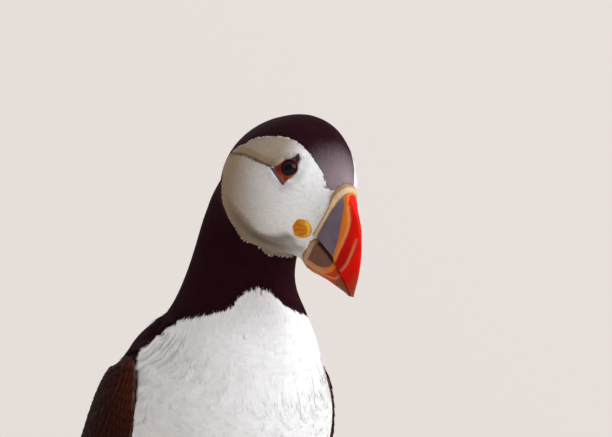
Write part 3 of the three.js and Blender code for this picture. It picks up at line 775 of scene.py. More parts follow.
def coat_depth(points, weights, sizes):
    """How far the skin lies inside the coat's outline."""
    coats = np.array([sizes.trunk_coat, sizes.neck_coat, sizes.head_coat, sizes.thigh_coat, sizes.wing_coat])
    depth = weights @ coats / MM
    f, _, _ = to_head(points)
    on_head = points[:, 2] > HEAD_FROM
    # Shallower round the eyes and towards the bill, and sunk under the bill's base.
    beak = step(17, 24, f) * on_head
    depth = depth * (1 - 0.8 * step(8.5, 5, from_eye(points))) * (1 - 0.55 * beak)
    return depth + 1.6 * step(27.2, 28, f) * on_head


# ------------------------------------------------------------------ wings and tail


def wing_face(share, turn, sign):
    """Places on the wing: share of its length, and degrees round its section from the leading edge."""
    side, forward, up, half, thick, lean = np.moveaxis(along(WING, share), -1, 0)
    ahead, behind = along(WING, share + 0.01)[..., :3], along(WING, share - 0.01)[..., :3]
    run = unit((ahead - behind) * [1, -1, 1])
    level, rise = np.cos(np.radians(lean)), np.sin(np.radians(lean))
    out = np.stack([level, WING_BACK_SHARE * rise, rise], -1)
    out = unit(out - run * (out * run).sum(-1, keepdims=True))
    across = unit(np.cross(run, out))
    c, s = np.cos(np.radians(turn)), np.sin(np.radians(turn))
    c = np.sign(c) * np.abs(c) ** (2 / WING_SQUARENESS)
    s = np.sign(s) * np.abs(s) ** (2 / WING_SQUARENESS)
    raised = s * thick / 2 - (c * half) ** 2 / (2 * WING_BOW_RADIUS)
    points = np.stack([side, -forward - ORIGIN_BACK, up], -1)
    points = points + across * (c * half)[..., None] + out * raised[..., None]
    return points * [sign, 1, 1]


def tail_face(share, across, _):
    """Places on the tail's upper face: share of its length, and -1 to 1 across it."""
    t = np.sin(np.clip(share, 0, 1) * math.pi / 2)
    half = TAIL["root_half"] + (TAIL["tip_half"] - TAIL["root_half"]) * t
    thick = TAIL["thick"] + (TAIL["tip"] - TAIL["thick"]) * share
    bow = TAIL["bow"] * (TAIL["bow_root"] + (1 - TAIL["bow_root"]) * share)
    reach = share * TAIL["length"] * (1 - TAIL["rounding"] * across**2)
    drop = math.radians(TAIL["drop"])
    crown = thick * 0.4 * np.sqrt(np.clip(1 - across**2, 0, 1))
    up = TAIL["up"] - math.sin(drop) * reach - bow * across**2 + crown
    forward = TAIL["forward"] - math.cos(drop) * reach
    return np.stack([across * half, -forward - ORIGIN_BACK, up], -1)


def feathers(name, face, sign, roots, shape, rows, cols):
    """Vanes laid on a surface.

    roots are share and turn; shape has length in shares, half-width and slant in turns, low and high lifts
    in millimetres, camber, and how much of the tip is round."""
    s = np.sin(np.linspace(0, math.pi / 2, rows))[None, :, None]
    w = np.linspace(-1, 1, cols)[None, None, :]
    value = {k: np.asarray(v, float).reshape(-1, 1, 1) for k, v in shape.items()}
    share0, turn0 = (np.asarray(v, float).reshape(-1, 1, 1) for v in roots)
    full = np.sqrt(np.clip(1 - np.clip((s - 1 + value["tip"]) / value["tip"], 0, 1) ** 2, 0.0004, 1))
    full = full * (0.45 + 0.55 * step(0, 0.3, s))
    share = share0 + value["length"] * s * (1 - 0.1 * w**2)
    turn = turn0 + value["slant"] * s + value["half"] * full * w
    lift = value["low"] + (value["high"] - value["low"]) * s - value["camber"] * w**2
    share, turn, lift = np.broadcast_arrays(share, turn, lift)
    points = face(share, turn, sign)
    nudge = 0.002
    along_run = face(share + nudge, turn, sign) - points
    turned = face(share, turn + nudge * 90, sign) - points
    normal = unit(np.cross(along_run, turned))
    outward = np.array([sign, 0, 0.4]) if face is wing_face else np.array([0, 0.3, 1.0])
    if (normal.reshape(-1, 3) @ outward).sum() < 0:
        normal = -normal
    piece = plates(name, points + normal * lift[..., None], normal, np.full(share.shape, VANE_THICK))
    reach = np.maximum(np.abs(w), np.clip((s - 0.5) / 0.5, 0, 1)) + 0 * share
    plate_values(
        piece,
        fringe=step(0.72, 1.0, np.broadcast_to(reach, share.shape)) * 0.55,
        shaft=np.broadcast_to(step(0.16, 0.04, np.abs(w)), share.shape) * 0.7,
    )
    return piece


# ------------------------------------------------------------------ coat


class Ground:
    """The skin as the coat sees it: its faces, its values, and the nearest place on it."""

    def __init__(self, piece):
        mesh = piece.data
        mesh.calc_loop_triangles()
        corners = np.empty(len(mesh.loop_triangles) * 3, np.int32)
        mesh.loop_triangles.foreach_get("vertices", corners)
        self.faces = corners.reshape(-1, 3)
        self.points = points_of(piece)
        self.normals = normals_of(piece)
        self.values = {a.name: get_values(piece, a.name) for a in mesh.attributes if a.data_type == "FLOAT"}
        a, b, c = (self.points[self.faces[:, k]] for k in range(3))
        self.area = 0.5 * np.linalg.norm(np.cross(b - a, c - a), axis=1)
        self.tree = BVHTree.FromPolygons([Vector(v) for v in self.points], self.faces.tolist())

    def scatter(self, density, seed):
        """Random places, as many to the square millimetre as density says for each vertex."""
        rng = np.random.default_rng(seed)
        wanted = self.area * density[self.faces].mean(1)
        count = np.floor(wanted + rng.random(len(wanted))).astype(int)
        face = np.repeat(np.arange(len(count)), count)
        a, b = rng.random((2, len(face)))
        turned = a + b > 1
        a, b = np.where(turned, 1 - a, a), np.where(turned, 1 - b, b)
        parts = np.stack([1 - a - b, a, b], 1)[:, :, None]
        corner = self.faces[face]
        place = (self.points[corner] * parts).sum(1)
        normal = unit((self.normals[corner] * parts).sum(1))
        held = {name: (v[corner] * parts[:, :, 0]).sum(1) for name, v in self.values.items()}
        return place, normal, held, rng

    def nearest(self, points):
        """The nearest places on the skin, and the way out of it there."""
        found = [self.tree.find_nearest(Vector(p)) for p in points]
        return np.array([f[0] for f in found]), np.array([f[1] for f in found])


def lie(points, normals, head):
    """The way feathers lie: away from the bill on the head, and down the body elsewhere."""
    _, way, _ = axis_frame(points)
    down = -way
    _, l, _ = to_head(points)
    from_bill = unit(points - from_head(FEATHERS_FROM[0], 0, FEATHERS_FROM[1]))
    eye = unit(points - from_head(EYE["forward"], np.sign(l) * EYE["left"], EYE["up"]))
    # Close to an eye they part and lie away from it.
    from_bill = from_bill + 1.1 * np.exp(-((from_eye(points) / 4.5) ** 2))[:, None] * eye
    mixed = from_bill * head[:, None] + down * (1 - head)[:, None]
    mixed = mixed - normals * (mixed * normals).sum(1, keepdims=True)
    return unit(mixed)


def follow(ground, place, way, length):
    """How straight feathers bend to lie on the skin: shifts half way and at the tip, and the tip's normal."""
    half, _ = ground.nearest(place + way * (length / 2)[:, None])
    end, out = ground.nearest(place + way * length[:, None])
    shifts = []
    for spot, share in ((half, 0.5), (end, 1)):
        shift = spot - place - way * (length * share)[:, None]
        far = np.linalg.norm(shift, axis=1)
        shifts.append(shift * np.minimum(1, 0.35 * share * length / np.maximum(far, 1e-9))[:, None])
    return shifts[0], shifts[1], out


def strands(name, ground, roots, shape, barbs, unwrap, values):
    """Tufts of thin closed strands that lie along the skin, in one mesh.

    roots are place, normal and way; shape has length, width, rise and spread in millimetres;
    barbs are where across a tuft its strands stand; unwrap is each tuft's place on the map."""
    place, normal, way = roots
    across = np.cross(normal, way)
    half, end, out = follow(ground, place, way, shape["length"])
    count, rows = len(place), len(STRAND_ROWS)
    points, uvs, tips, facing = [], [], [], []
    for side in barbs:
        reach = shape["length"] * (1 - 0.22 * side**2)
        for s in STRAND_ROWS:
            fan = shape["spread"] * side * s * (2 - s)
            spot = place + way * (reach * s)[:, None] + across * fan[:, None]
            spot = spot + half * (4 * s * (1 - s)) + end * (s * (2 * s - 1))
            up = unit(normal * (1 - s) + out * s)
            high = shape["rise"] * float(through(LIFT, s))
            spot = spot + up * high[:, None]
            taper = max(1 - s**2.2, 0.0) ** 0.6 * (0.75 + 0.25 * math.sin(math.pi * s))
            wide = 0.5 * shape["width"] * taper
            thick = FLATNESS * shape["width"] * (1 - 0.6 * s)
            patch = unwrap + np.array([0.0013 * side, 0.0028 * s])
            if s < 1:
                for c, lift in ((-1, -0.5), (1, -0.5), (0, 0.5)):
                    points.append(spot + across * (wide * c)[:, None] + up * (thick * lift)[:, None])
                    uvs.append(patch + np.array([0.0001 * c, 0.0001 * lift]))
                    tips.append(np.full(count, s))
                    facing.append(unit(up + across * (SOFTNESS * c)))
            else:
                points.append(spot)
                uvs.append(patch)
                tips.append(np.full(count, s))
                facing.append(up)
    each = 3 * (rows - 1) + 1
    strand = [(0, 2, 1)]
    for k in range(rows - 2):
        for a in range(3):
            b = (a + 1) % 3
            strand += [(3 * k + a, 3 * k + b, 3 * k + 3 + a), (3 * k + b, 3 * k + 3 + b, 3 * k + 3 + a)]
    last = 3 * (rows - 2)
    strand += [(last + a, last + (a + 1) % 3, each - 1) for a in range(3)]
    strand = np.array(strand)
    template = np.concatenate([strand + each * k for k in range(len(barbs))])
    total = each * len(barbs)
    faces = (template[None] + (np.arange(count) * total)[:, None, None]).reshape(-1, 3)
    points = np.stack(points, 1).reshape(-1, 3)
    uvs = np.stack(uvs, 1).reshape(-1, 2)
    piece = mesh_object(name, points, faces)
    layer = piece.data.uv_layers.new(name="OFBake", do_init=False)
    layer.data.foreach_set("uv", np.clip(uvs, 0, 1)[faces.ravel()].astype(np.float32).ravel())
    for key, value in values.items():
        set_values(piece, key, np.repeat(value, total))
    # The coat is lit as the smooth surface that its feathers make together.
    piece.data.normals_split_custom_set_from_vertices(np.stack(facing, 1).reshape(-1, 3).tolist())
    return piece


def trimmed(place, way, length, dark, white_share, dark_share):
    """Shares of their length for strands that would run over an edge of the markings."""
    tip = place + way * length[:, None]
    end, _, _ = markings(tip)
    share = np.where((dark < 0.5) & (end > 0.5), white_share, 1.0)
    return np.where((dark >= 0.5) & (end < 0.5), dark_share, share)


def off_wings(place, way, length):
    """Which strands stay clear of the wings from root to tip."""
    clear = wing_gap(place) > OFF_WING[0]
    for share in (0.5, 1):
        clear &= wing_gap(place + way * (length * share)[:, None]) > OFF_WING[1]
    return clear


def wing_gap(points):
    """Distance in millimetres from the nearer wing's solid, counted up to four."""
    gap = np.full(len(points), 4.0)
    for side in SIDES:
        node = f"wing_{side}"
        low, high = (np.array(corner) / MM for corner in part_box(node))
        near = np.all((points > low - 4) & (points < high + 4), axis=1)
        tree = solid_tree(node)
        for i in np.flatnonzero(near):
            spot = Vector(points[i] * MM)
            hit = tree.find_nearest(spot, 0.004)
            if hit[0] is not None:
                inside = (spot - hit[0]).dot(hit[1]) < 0
                gap[i] = min(gap[i], -hit[3] / MM if inside else hit[3] / MM)
    return gap


def eye_gap(points):
    """Distance in millimetres outside the bare skin and horn round the nearer eye."""
    _, l, _ = to_head(points)
    gap = np.full(len(points), 99.0)
    for sign in SIDES.values():
        origin, axes = face_frame(EYE, EYE_FACES, sign)
        local = (points - origin) @ axes.T
        f, u = -sign * local[:, 0], local[:, 1]
        turn = np.degrees(np.arctan2(u, f))
        outside = np.hypot(f, u) - drawn_out(turn, EYE_RING["outer"], EYE_CORNERS)
        # The long plate below the eye as a leaning bar, and the small one above it as a round.
        bar = np.maximum(np.abs(f + 1.05) - 3.5, np.abs(u + 4.65 + 0.255 * (f + 1.05)) - 0.35)
        horn = np.hypot(f, u - 3.9) - 1.5
        nearest = np.minimum(np.minimum(outside, bar), horn)
        gap = np.where(l * sign > 0, nearest, gap)
    return gap


def drawn_out(turn, radius, corners):
    """Radius of a circle drawn out by straight tangents to corners, each at an angle and a distance."""
    reach = np.full(np.shape(turn), float(radius))
    for at, far in corners:
        away = np.radians(np.abs((turn - at + 180) % 360 - 180))
        limit = math.acos(radius / far)
        reach = np.where(away < limit, np.maximum(reach, radius / np.cos(limit - away)), reach)
    # Straight from the second corner to the last.
    ends = [(far * math.cos(math.radians(at)), far * math.sin(math.radians(at))) for at, far in corners[1:]]
    (x1, y1), (x2, y2) = ends
    c, s = np.cos(np.radians(turn)), np.sin(np.radians(turn))
    between = (turn % 360 > corners[1][0]) & (turn % 360 < corners[2][0])
    chord = (x1 * y2 - y1 * x2) / np.where(between, c * (y2 - y1) - s * (x2 - x1), 1)
    return np.where(between, np.maximum(reach, chord), reach)


def unwrap_of(points, head):
    """Each root's place on an unwrap of the skin, rolled round the head's or the body's axis."""
    if head:
        f, l, u = to_head(points)
        flat = np.stack([np.arctan2(l, u + 3), f], 1)
    else:
        share, _, angle = axis_frame(points)
        flat = np.stack([angle, share], 1)
    low, high = flat.min(0), flat.max(0)
    return 0.004 + (flat - low) / (high - low) * 0.99


def patch_map(piece, places, each):
    """The map for the vanes' colours: every vane a small patch at its root's place."""
    points = points_of(piece).reshape(-1, each, 3)
    local = points - points.mean(1, keepdims=True)
    size = np.abs(local).max((1, 2), keepdims=True)
    places = np.clip(places, 0.01, 0.99) + (local / size)[..., :2].reshape(-1, 2) * 0.0015
    layer = piece.data.uv_layers.new(name="OFBake", do_init=False)
    corner = np.empty(len(piece.data.loops), np.int32)
    piece.data.loops.foreach_get("vertex_index", corner)
    layer.data.foreach_set("uv", places[corner].astype(np.float32).ravel())


def lay(name, slot, chosen, ground, roots, shape, barbs, marks, on_head, material):
    """Makes one piece of the coat from the chosen roots, and hands it over."""
    roots = [part[chosen] for part in roots]
    shape = {key: value[chosen] for key, value in shape.items()}
    marks = {key: value[chosen] for key, value in marks.items()}
    piece = strands(name, ground, roots, shape, barbs, unwrap_of(roots[0], on_head), marks)
    cover(piece, material)
    hand_over(piece, slot)


# ------------------------------------------------------------------ settings


def tint(name, description, code):
    """A colour setting with its default as sRGB hex."""
    return bpy.props.FloatVectorProperty(
        name=name, description=description, subtype="COLOR", size=4, default=linear(code), min=0, max=1
    )


class PuffinSizes(bpy.types.PropertyGroup):
    """Sizes that a user would change."""

    skin_voxel: bpy.props.FloatProperty(
        name="Skin grain", description="Size of the skin's faces", default=0.0011, unit="LENGTH"
    )
    leg_voxel: bpy.props.FloatProperty(
        name="Leg grain", description="Size of the legs' faces", default=0.00048, unit="LENGTH"
    )
    trunk_coat: bpy.props.FloatProperty(
        name="Trunk coat", description="Depth of the feathers on the trunk", default=0.0011, unit="LENGTH"
    )
    neck_coat: bpy.props.FloatProperty(
        name="Neck coat", description="Depth of the feathers on the neck", default=0.0009, unit="LENGTH"
    )
    head_coat: bpy.props.FloatProperty(
        name="Head coat", description="Depth of the feathers on the head", default=0.0006, unit="LENGTH"
    )
    thigh_coat: bpy.props.FloatProperty(
        name="Thigh coat", description="Depth of the feathers on the thighs", default=0.0013, unit="LENGTH"
    )
    wing_coat: bpy.props.FloatProperty(
        name="Wing coat", description="Depth of the feathers on the wings", default=0.0011, unit="LENGTH"
    )
    head_tufts: bpy.props.FloatProperty(
        name="Head tufts", description="Tufts on each square millimetre of the head", default=6.0, min=0.1
    )
    neck_tufts: bpy.props.FloatProperty(
        name="Neck tufts", description="Tufts on each square millimetre of the neck", default=3.6, min=0.1
    )
    body_tufts: bpy.props.FloatProperty(
        name="Body tufts", description="Tufts on each square millimetre of the trunk", default=0.48, min=0.05
    )


class PuffinColours(bpy.types.PropertyGroup):
    """Colours that a user would change."""

    white: tint("White", "Breast and cheeks", "#f8fafd")
    white_low: tint("White, dimmer", "Cloudy parts of the white", "#eff2f5")
    # Taupe: the face's own grey above the fold, and towards the rear of the cheek partly painted shade.
    taupe: tint("Taupe", "Above the fold behind the eye, and the rear of the cheek", "#9f8a72")
    # Colour of the painted shade and shadow in the fold behind the eye, under the cheek and on the throat.
    shade: tint("Fold", "In the fold behind the eye and under the cheek", "#5a4735")
    black: tint("Black", "Hood and back", "#2f131a")
    black_low: tint("Black, deeper", "Cloudy parts of the black", "#220b11")
    # Colour of the painted highlight on the forehead, towards the bill.
    brow_highlight: tint("Forehead", "Paler feathers next to the bill", "#94848b")
    wing: tint("Wing", "Wing and tail feathers", "#33120c")
    wing_low: tint("Wing, deeper", "Shafts and darker feathers", "#1b0807")
    wing_rust: tint("Wing, worn", "Bleached feathers at the shoulder", "#633022")
    wing_fringe: tint("Wing fringe", "Worn edges of the feathers", "#45231b")
    wing_edge: tint("Leading edge", "Thin pale line along the wing", "#7c6456")
    bill: tint("Bill red", "Front of the upper bill", "#ff1400")
    bill_low: tint("Lower bill red", "Front of the lower bill", "#cf4c1c")
    bill_deep: tint("Bill, deeper", "Between the grooves", "#b01002")
    bill_tip: tint("Bill tip", "Worn horn near the tip", "#7c4a30")
    chevron: tint("Chevron", "Raised band across the bill", "#e27a24")
    groove: tint("Grooves", "Pale worn grooves", "#e39a6e")
    plate: tint("Plate", "Grey base of the bill", "#837888")
    plate_low: tint("Plate, deeper", "Darker parts of the grey base", "#655866")
    plate_brown: tint("Lower plate", "Grey-brown base of the lower bill", "#875e4c")
    plate_brown_low: tint("Lower plate, deeper", "Darker parts of it", "#684b40")
    lip: tint("Cutting edge", "Brown horn along the cutting edge", "#5a3028")
    cere: tint("Cere", "Cream ridge at the base of the bill", "#e3cfae")
    cere_low: tint("Cere, deeper", "Peach parts of the ridge", "#d3ab84")
    # Browner towards the rear of the ridge, next to the feathers.
    cere_stain: tint("Cere stain", "Brown line along the ridge", "#8f6a3c")
    rim: tint("Lower rim", "Base of the lower bill", "#94795a")
    rim_pale: tint("Lower band", "Tan band along the lower bill", "#bd9a70")
    rosette: tint("Rosette", "Patch at the corner of the mouth", "#e59309")
    rosette_low: tint("Rosette, deeper", "Parts of the patch", "#cf7606")
    # Colour of the painted shade in the rosette's folds and at its base.
    rosette_fold: tint("Rosette folds", "In its folds", "#b55a08")
    rosette_rim: tint("Rosette rim", "Bright edge towards the bill", "#f7c52e")
    iris: tint("Iris", "Dark brown of the eye", "#2c1520")
    iris_low: tint("Iris, deeper", "Parts of the iris", "#150a0e")
    ring: tint("Eye ring", "Skin round the eye", "#921f1e")
    # Painted shade: the ring darker in its furrows and at its inner edge against the eye.
    ring_low: tint("Eye ring, deeper", "Its inner edge and furrows", "#5c1015")
    ring_warm: tint("Eye ring, lower corner", "Orange skin", "#b04a24")
    slate: tint("Eye plates", "Horn above and below the eye", "#4d4c56")
    slate_low: tint("Eye plates, deeper", "Parts of the plates", "#33323a")
    claw: tint("Claws", "Horn of the claws", "#2b2725")
    claw_low: tint("Claws, deeper", "Parts of the claws", "#151212")
    leg: tint("Legs", "Scales and webs", "#e8641c")
    leg_low: tint("Legs, deeper", "Parts of the legs", "#d44d12")
    # Colour of the painted shade in the creases between the scutes.
    leg_crease: tint("Leg creases", "Between the scutes", "#96340e")


def palette(context):
    """The colours now set, by name."""
    held = context.scene.puffin_colours
    return {name: tuple(getattr(held, name)) for name in PuffinColours.__annotations__}


# ------------------------------------------------------------------ operators


def scutes(legs):
    """Raises the leg's scales: rings of scutes along the toes and down the front of each tarsus."""
    points = points_of(legs)
    x, y, z = points.T
    # Rings about 1.7 mm apart round the heel on the toes, and scutes 1.6 mm apart down the tarsus.
    reach = np.hypot(np.abs(x) - 17, y)
    rings = np.abs(((reach + 0.6 * z) / 1.7) % 1 - 0.5) * 2
    down = np.abs((z / 1.6) % 1 - 0.5) * 2
    on_toe = step(1.3, 2.2, z) * step(9, 5, z)
    on_leg = step(6, 10, z)
    crease_shade = np.maximum(step(0.3, 0.0, 1 - rings) * on_toe, step(0.3, 0.0, 1 - down) * on_leg)
    move_points(legs, points - normals_of(legs) * (0.16 * crease_shade)[:, None])
    # Painted shade in the creases.
    set_values(legs, "crease_shade", crease_shade * 0.7)


def nearest_region(points, regions):
    """Which group of solids each point is nearest to."""
    away = np.full((len(points), len(regions)), 1e9)
    for k, nodes in enumerate(regions):
        for node in nodes:
            tree = solid_tree(node)
            low, high = (np.array(corner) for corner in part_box(node))
            near = np.all((points * MM > low - 0.004) & (points * MM < high + 0.004), axis=1)
            for i in np.flatnonzero(near):
                hit = tree.find_nearest(points[i] * MM, 0.01)
                if hit[0] is not None:
                    away[i, k] = min(away[i, k], hit[3])
    return away.argmin(1)


def under_rings(points):
    """The skin's points, dropped below the bare ring and the horn round each eye."""
    gap = eye_gap(points)
    for sign in SIDES.values():
        origin, axes = face_frame(EYE, EYE_FACES, sign)
        local = (points - origin) @ axes.T
        high = -0.05 - 1.6 * step(0, -1.4, gap)
        over = (gap < 0.3) & (local[:, 2] > high) & (to_head(points)[1] * sign > 0)
        local[over, 2] = high[over]
        points = origin + local @ axes
    return points


class PUFFIN_OT_skin(bpy.types.Operator):
    """One skin over trunk, neck, head, wings and legs"""

    bl_idname = "puffin.skin"
    bl_label = "Skin"

    def execute(self, context):
        sizes = context.scene.puffin_sizes
        piece = shell_of("skin", (*FLESH, *UNDERLAY), 0.25, sizes.skin_voxel / MM, 22)
        points = points_of(piece)
        regions = (
            ("trunk",), ("neck",), ("head",), ("thigh_left", "thigh_right"), ("wing_left", "wing_right"),
        )
        owner = nearest_region(points, regions)
        weights = neighbours_mean(piece, np.eye(len(regions))[owner], 6)
        depth = coat_depth(points, weights, sizes)
        move_points(piece, points - normals_of(piece) * (depth - 0.15)[:, None])
        modify(piece, "SMOOTH", factor=0.5, iterations=4)
        move_points(piece, under_rings(points_of(piece)))
        for k, nodes in enumerate(regions):
            set_values(piece, "w_" + nodes[0].split("_")[0], weights[:, k])
        set_values(piece, "depth", depth)
        colours = palette(context)
        cover(piece, plumage("Feathered skin", colours, 0.0, 0.85))
        legs = shell_of("legs", LEGS, 0.12, sizes.leg_voxel / MM, 4)
        cover(legs, leg_scales("Scaly leg skin", colours))
        scutes(legs)
        piece = joined([piece, legs])
        points = points_of(piece)
        dark, taupe, painted_shade = markings(points)
        winged = step(0.3, 0.6, get_values(piece, "w_wing"))
        set_values(piece, "dark", np.maximum(dark, winged))
        set_values(piece, "taupe", taupe)
        # Painted shade and shadow, on the skin as on the feathers.
        set_values(piece, "shade", painted_shade)
        set_values(piece, "tone", np.full(len(points), 0.5))
        # Painted highlight on the forehead.
        set_values(piece, "brow_highlight", brow_highlight_of(points))
        smooth(piece)
        hand_over(piece, "white_feathers", *FLESH, *LEGS)
        return {"FINISHED"}


class PUFFIN_OT_head_coat(bpy.types.Operator):
    """Short silky feathers of the crown and the face"""

    bl_idname = "puffin.head_coat"
    bl_label = "Head feathers"

    def execute(self, context):
        sizes = context.scene.puffin_sizes
        ground = Ground(bpy.data.objects["skin"])
        f, _, u = to_head(ground.points)
        eye = eye_gap(ground.points)
        on_head = step(0.35, 0.65, ground.values["w_head"])
        clear = step(-0.2, 0.1, eye) * step(-0.1, -0.4, f - cere_back(u))
        # More of them, and smaller, near the eye and the bill.
        fine = 1 + 1.4 * step(5, 1, eye) + 0.8 * step(18, 24, f)
        density = sizes.head_tufts * on_head * clear * fine
        place, normal, held, rng = ground.scatter(density, HEAD_STRAND["seed"])
        f, l, u = to_head(place)
        eye = eye_gap(place)
        keep = (f < cere_back(u) - 0.2) & (eye > 0.05)
        place, normal, f, l, u, eye = (values[keep] for values in (place, normal, f, l, u, eye))
        held = {name: value[keep] for name, value in held.items()}
        way = lie(place, normal, np.clip(held["w_head"], 0, 1))
        small = 1 - 0.6 * step(6, 0.5, eye) - 0.45 * step(15, 25, f)
        vary = 0.85 + 0.3 * rng.random(len(place))
        shape = {
            "length": HEAD_STRAND["length"] * np.clip(small, 0.3, 1) * vary,
            "width": HEAD_STRAND["width"] * np.clip(small, 0.5, 1) * vary,
            "rise": held["depth"] * (0.93 + 0.07 * rng.random(len(place))),
            "spread": np.zeros(len(place)),
        }
        # The third of the markings is painted shade and shadow.
        dark, taupe, painted_shade = markings(place)
        dark = (dark > 0.3 + 0.4 * rng.random(len(place))).astype(float)
        cut = trimmed(place, way, shape["length"], dark, 0.25, 0.35)
        for share in (0.6, 1):
            reached = eye_gap(place + way * (shape["length"] * share)[:, None]) < 0.1
            cut = np.where(reached, 0.35, cut)
        shape["length"] *= cut
        shape["width"] *= 0.55 + 0.45 * cut
        # None may lie forward over the cere.
        tip_f, _, tip_u = to_head(place + way * shape["length"][:, None])
        behind = (tip_f < through(CERE_BACK, tip_u)) | (tip_u < CERE_LOW[0])
        behind &= (normal @ head_way(1, 0, 0) < 0.6) | (f < 24.5)
        tone = rng.random(len(place))
        # The forehead's values are a painted highlight.
        marks = {"dark": dark, "taupe": taupe, "shade": painted_shade, "tone": tone, "brow_highlight": brow_highlight_of(place)}
        material = plumage("Silky head feathers", palette(context), 0.08, 0.7)
        pale = behind & (dark < 0.5)
        for name, chosen, slot in (
            ("crown_feathers", behind & (dark >= 0.5), "black_feathers"),
            ("face_feathers_left", pale & (l > 0), "face_feathers"),
            ("face_feathers_right", pale & (l <= 0), "face_feathers"),
        ):
            lay(name, slot, chosen, ground, (place, normal, way), shape, (0,), marks, True, material)
        return {"FINISHED"}


class PUFFIN_OT_body_coat(bpy.types.Operator):
    """Contour feathers of neck, trunk and thighs"""

    bl_idname = "puffin.body_coat"
    bl_label = "Body feathers"

    def execute(self, context):
        sizes = context.scene.puffin_sizes
        ground = Ground(bpy.data.objects["skin"])
        held = ground.values
        neck = held["w_neck"] * step(0.75, 0.5, held["w_head"])
        wanted = {
            "collar": sizes.neck_tufts * step(0.25, 0.5, neck),
            "trunk": sizes.body_tufts * step(0.25, 0.5, held["w_trunk"]),
            "thigh": THIGH_TUFTS * step(0.25, 0.5, held["w_thigh"]),
        }
        material = plumage("Soft body feathers", palette(context), 0.06, 0.8)
        for region, (barbs, length, width, spread, seed) in BODY_TUFTS.items():
            place, normal, values, rng = ground.scatter(wanted[region], seed)
            way = lie(place, normal, np.clip(values["w_head"], 0, 1))
            vary = 0.8 + 0.4 * rng.random(len(place))
            shape = {
                "length": length * vary,
                "width": width * vary,
                "rise": values["depth"] * (0.93 + 0.07 * rng.random(len(place))),
                "spread": spread * vary,
            }
            # The third of the markings is painted shade and shadow.
            dark, taupe, painted_shade = markings(place)
            dark = (dark > 0.25 + 0.5 * rng.random(len(place))).astype(float)
            cut = trimmed(place, way, shape["length"], dark, 0.35, 0.35)
            throat = (place[:, 2] > HEAD_FROM) & (dark < 0.5)
            shape["length"] *= cut * np.where(throat, 0.55, 1)
            shape["width"] *= (0.6 + 0.4 * cut) * np.where(throat, 0.75, 1)
            free = off_wings(place, way, shape["length"])
            marks = {"dark": dark, "taupe": taupe, "shade": painted_shade, "tone": rng.random(len(place))}
            white, height = free & (dark < 0.5), place[:, 2]
            breast, belly = height > BREAST_FROM, height > BELLY_FROM
            pieces = {
                "collar": [("collar_feathers", free, "black_feathers")],
                "trunk": [
                    ("breast_feathers", white & breast, "white_feathers"),
                    ("belly_feathers", white & belly & ~breast, "white_feathers"),
                    ("vent_feathers", white & ~belly, "white_feathers"),
                    ("back_feathers", free & (dark >= 0.5), "black_feathers"),
                ],
                "thigh": [("thigh_feathers", free, "white_feathers")],
            }
            for name, chosen, slot in pieces[region]:
                lay(name, slot, chosen, ground, (place, normal, way), shape, barbs, marks, False, material)
        return {"FINISHED"}


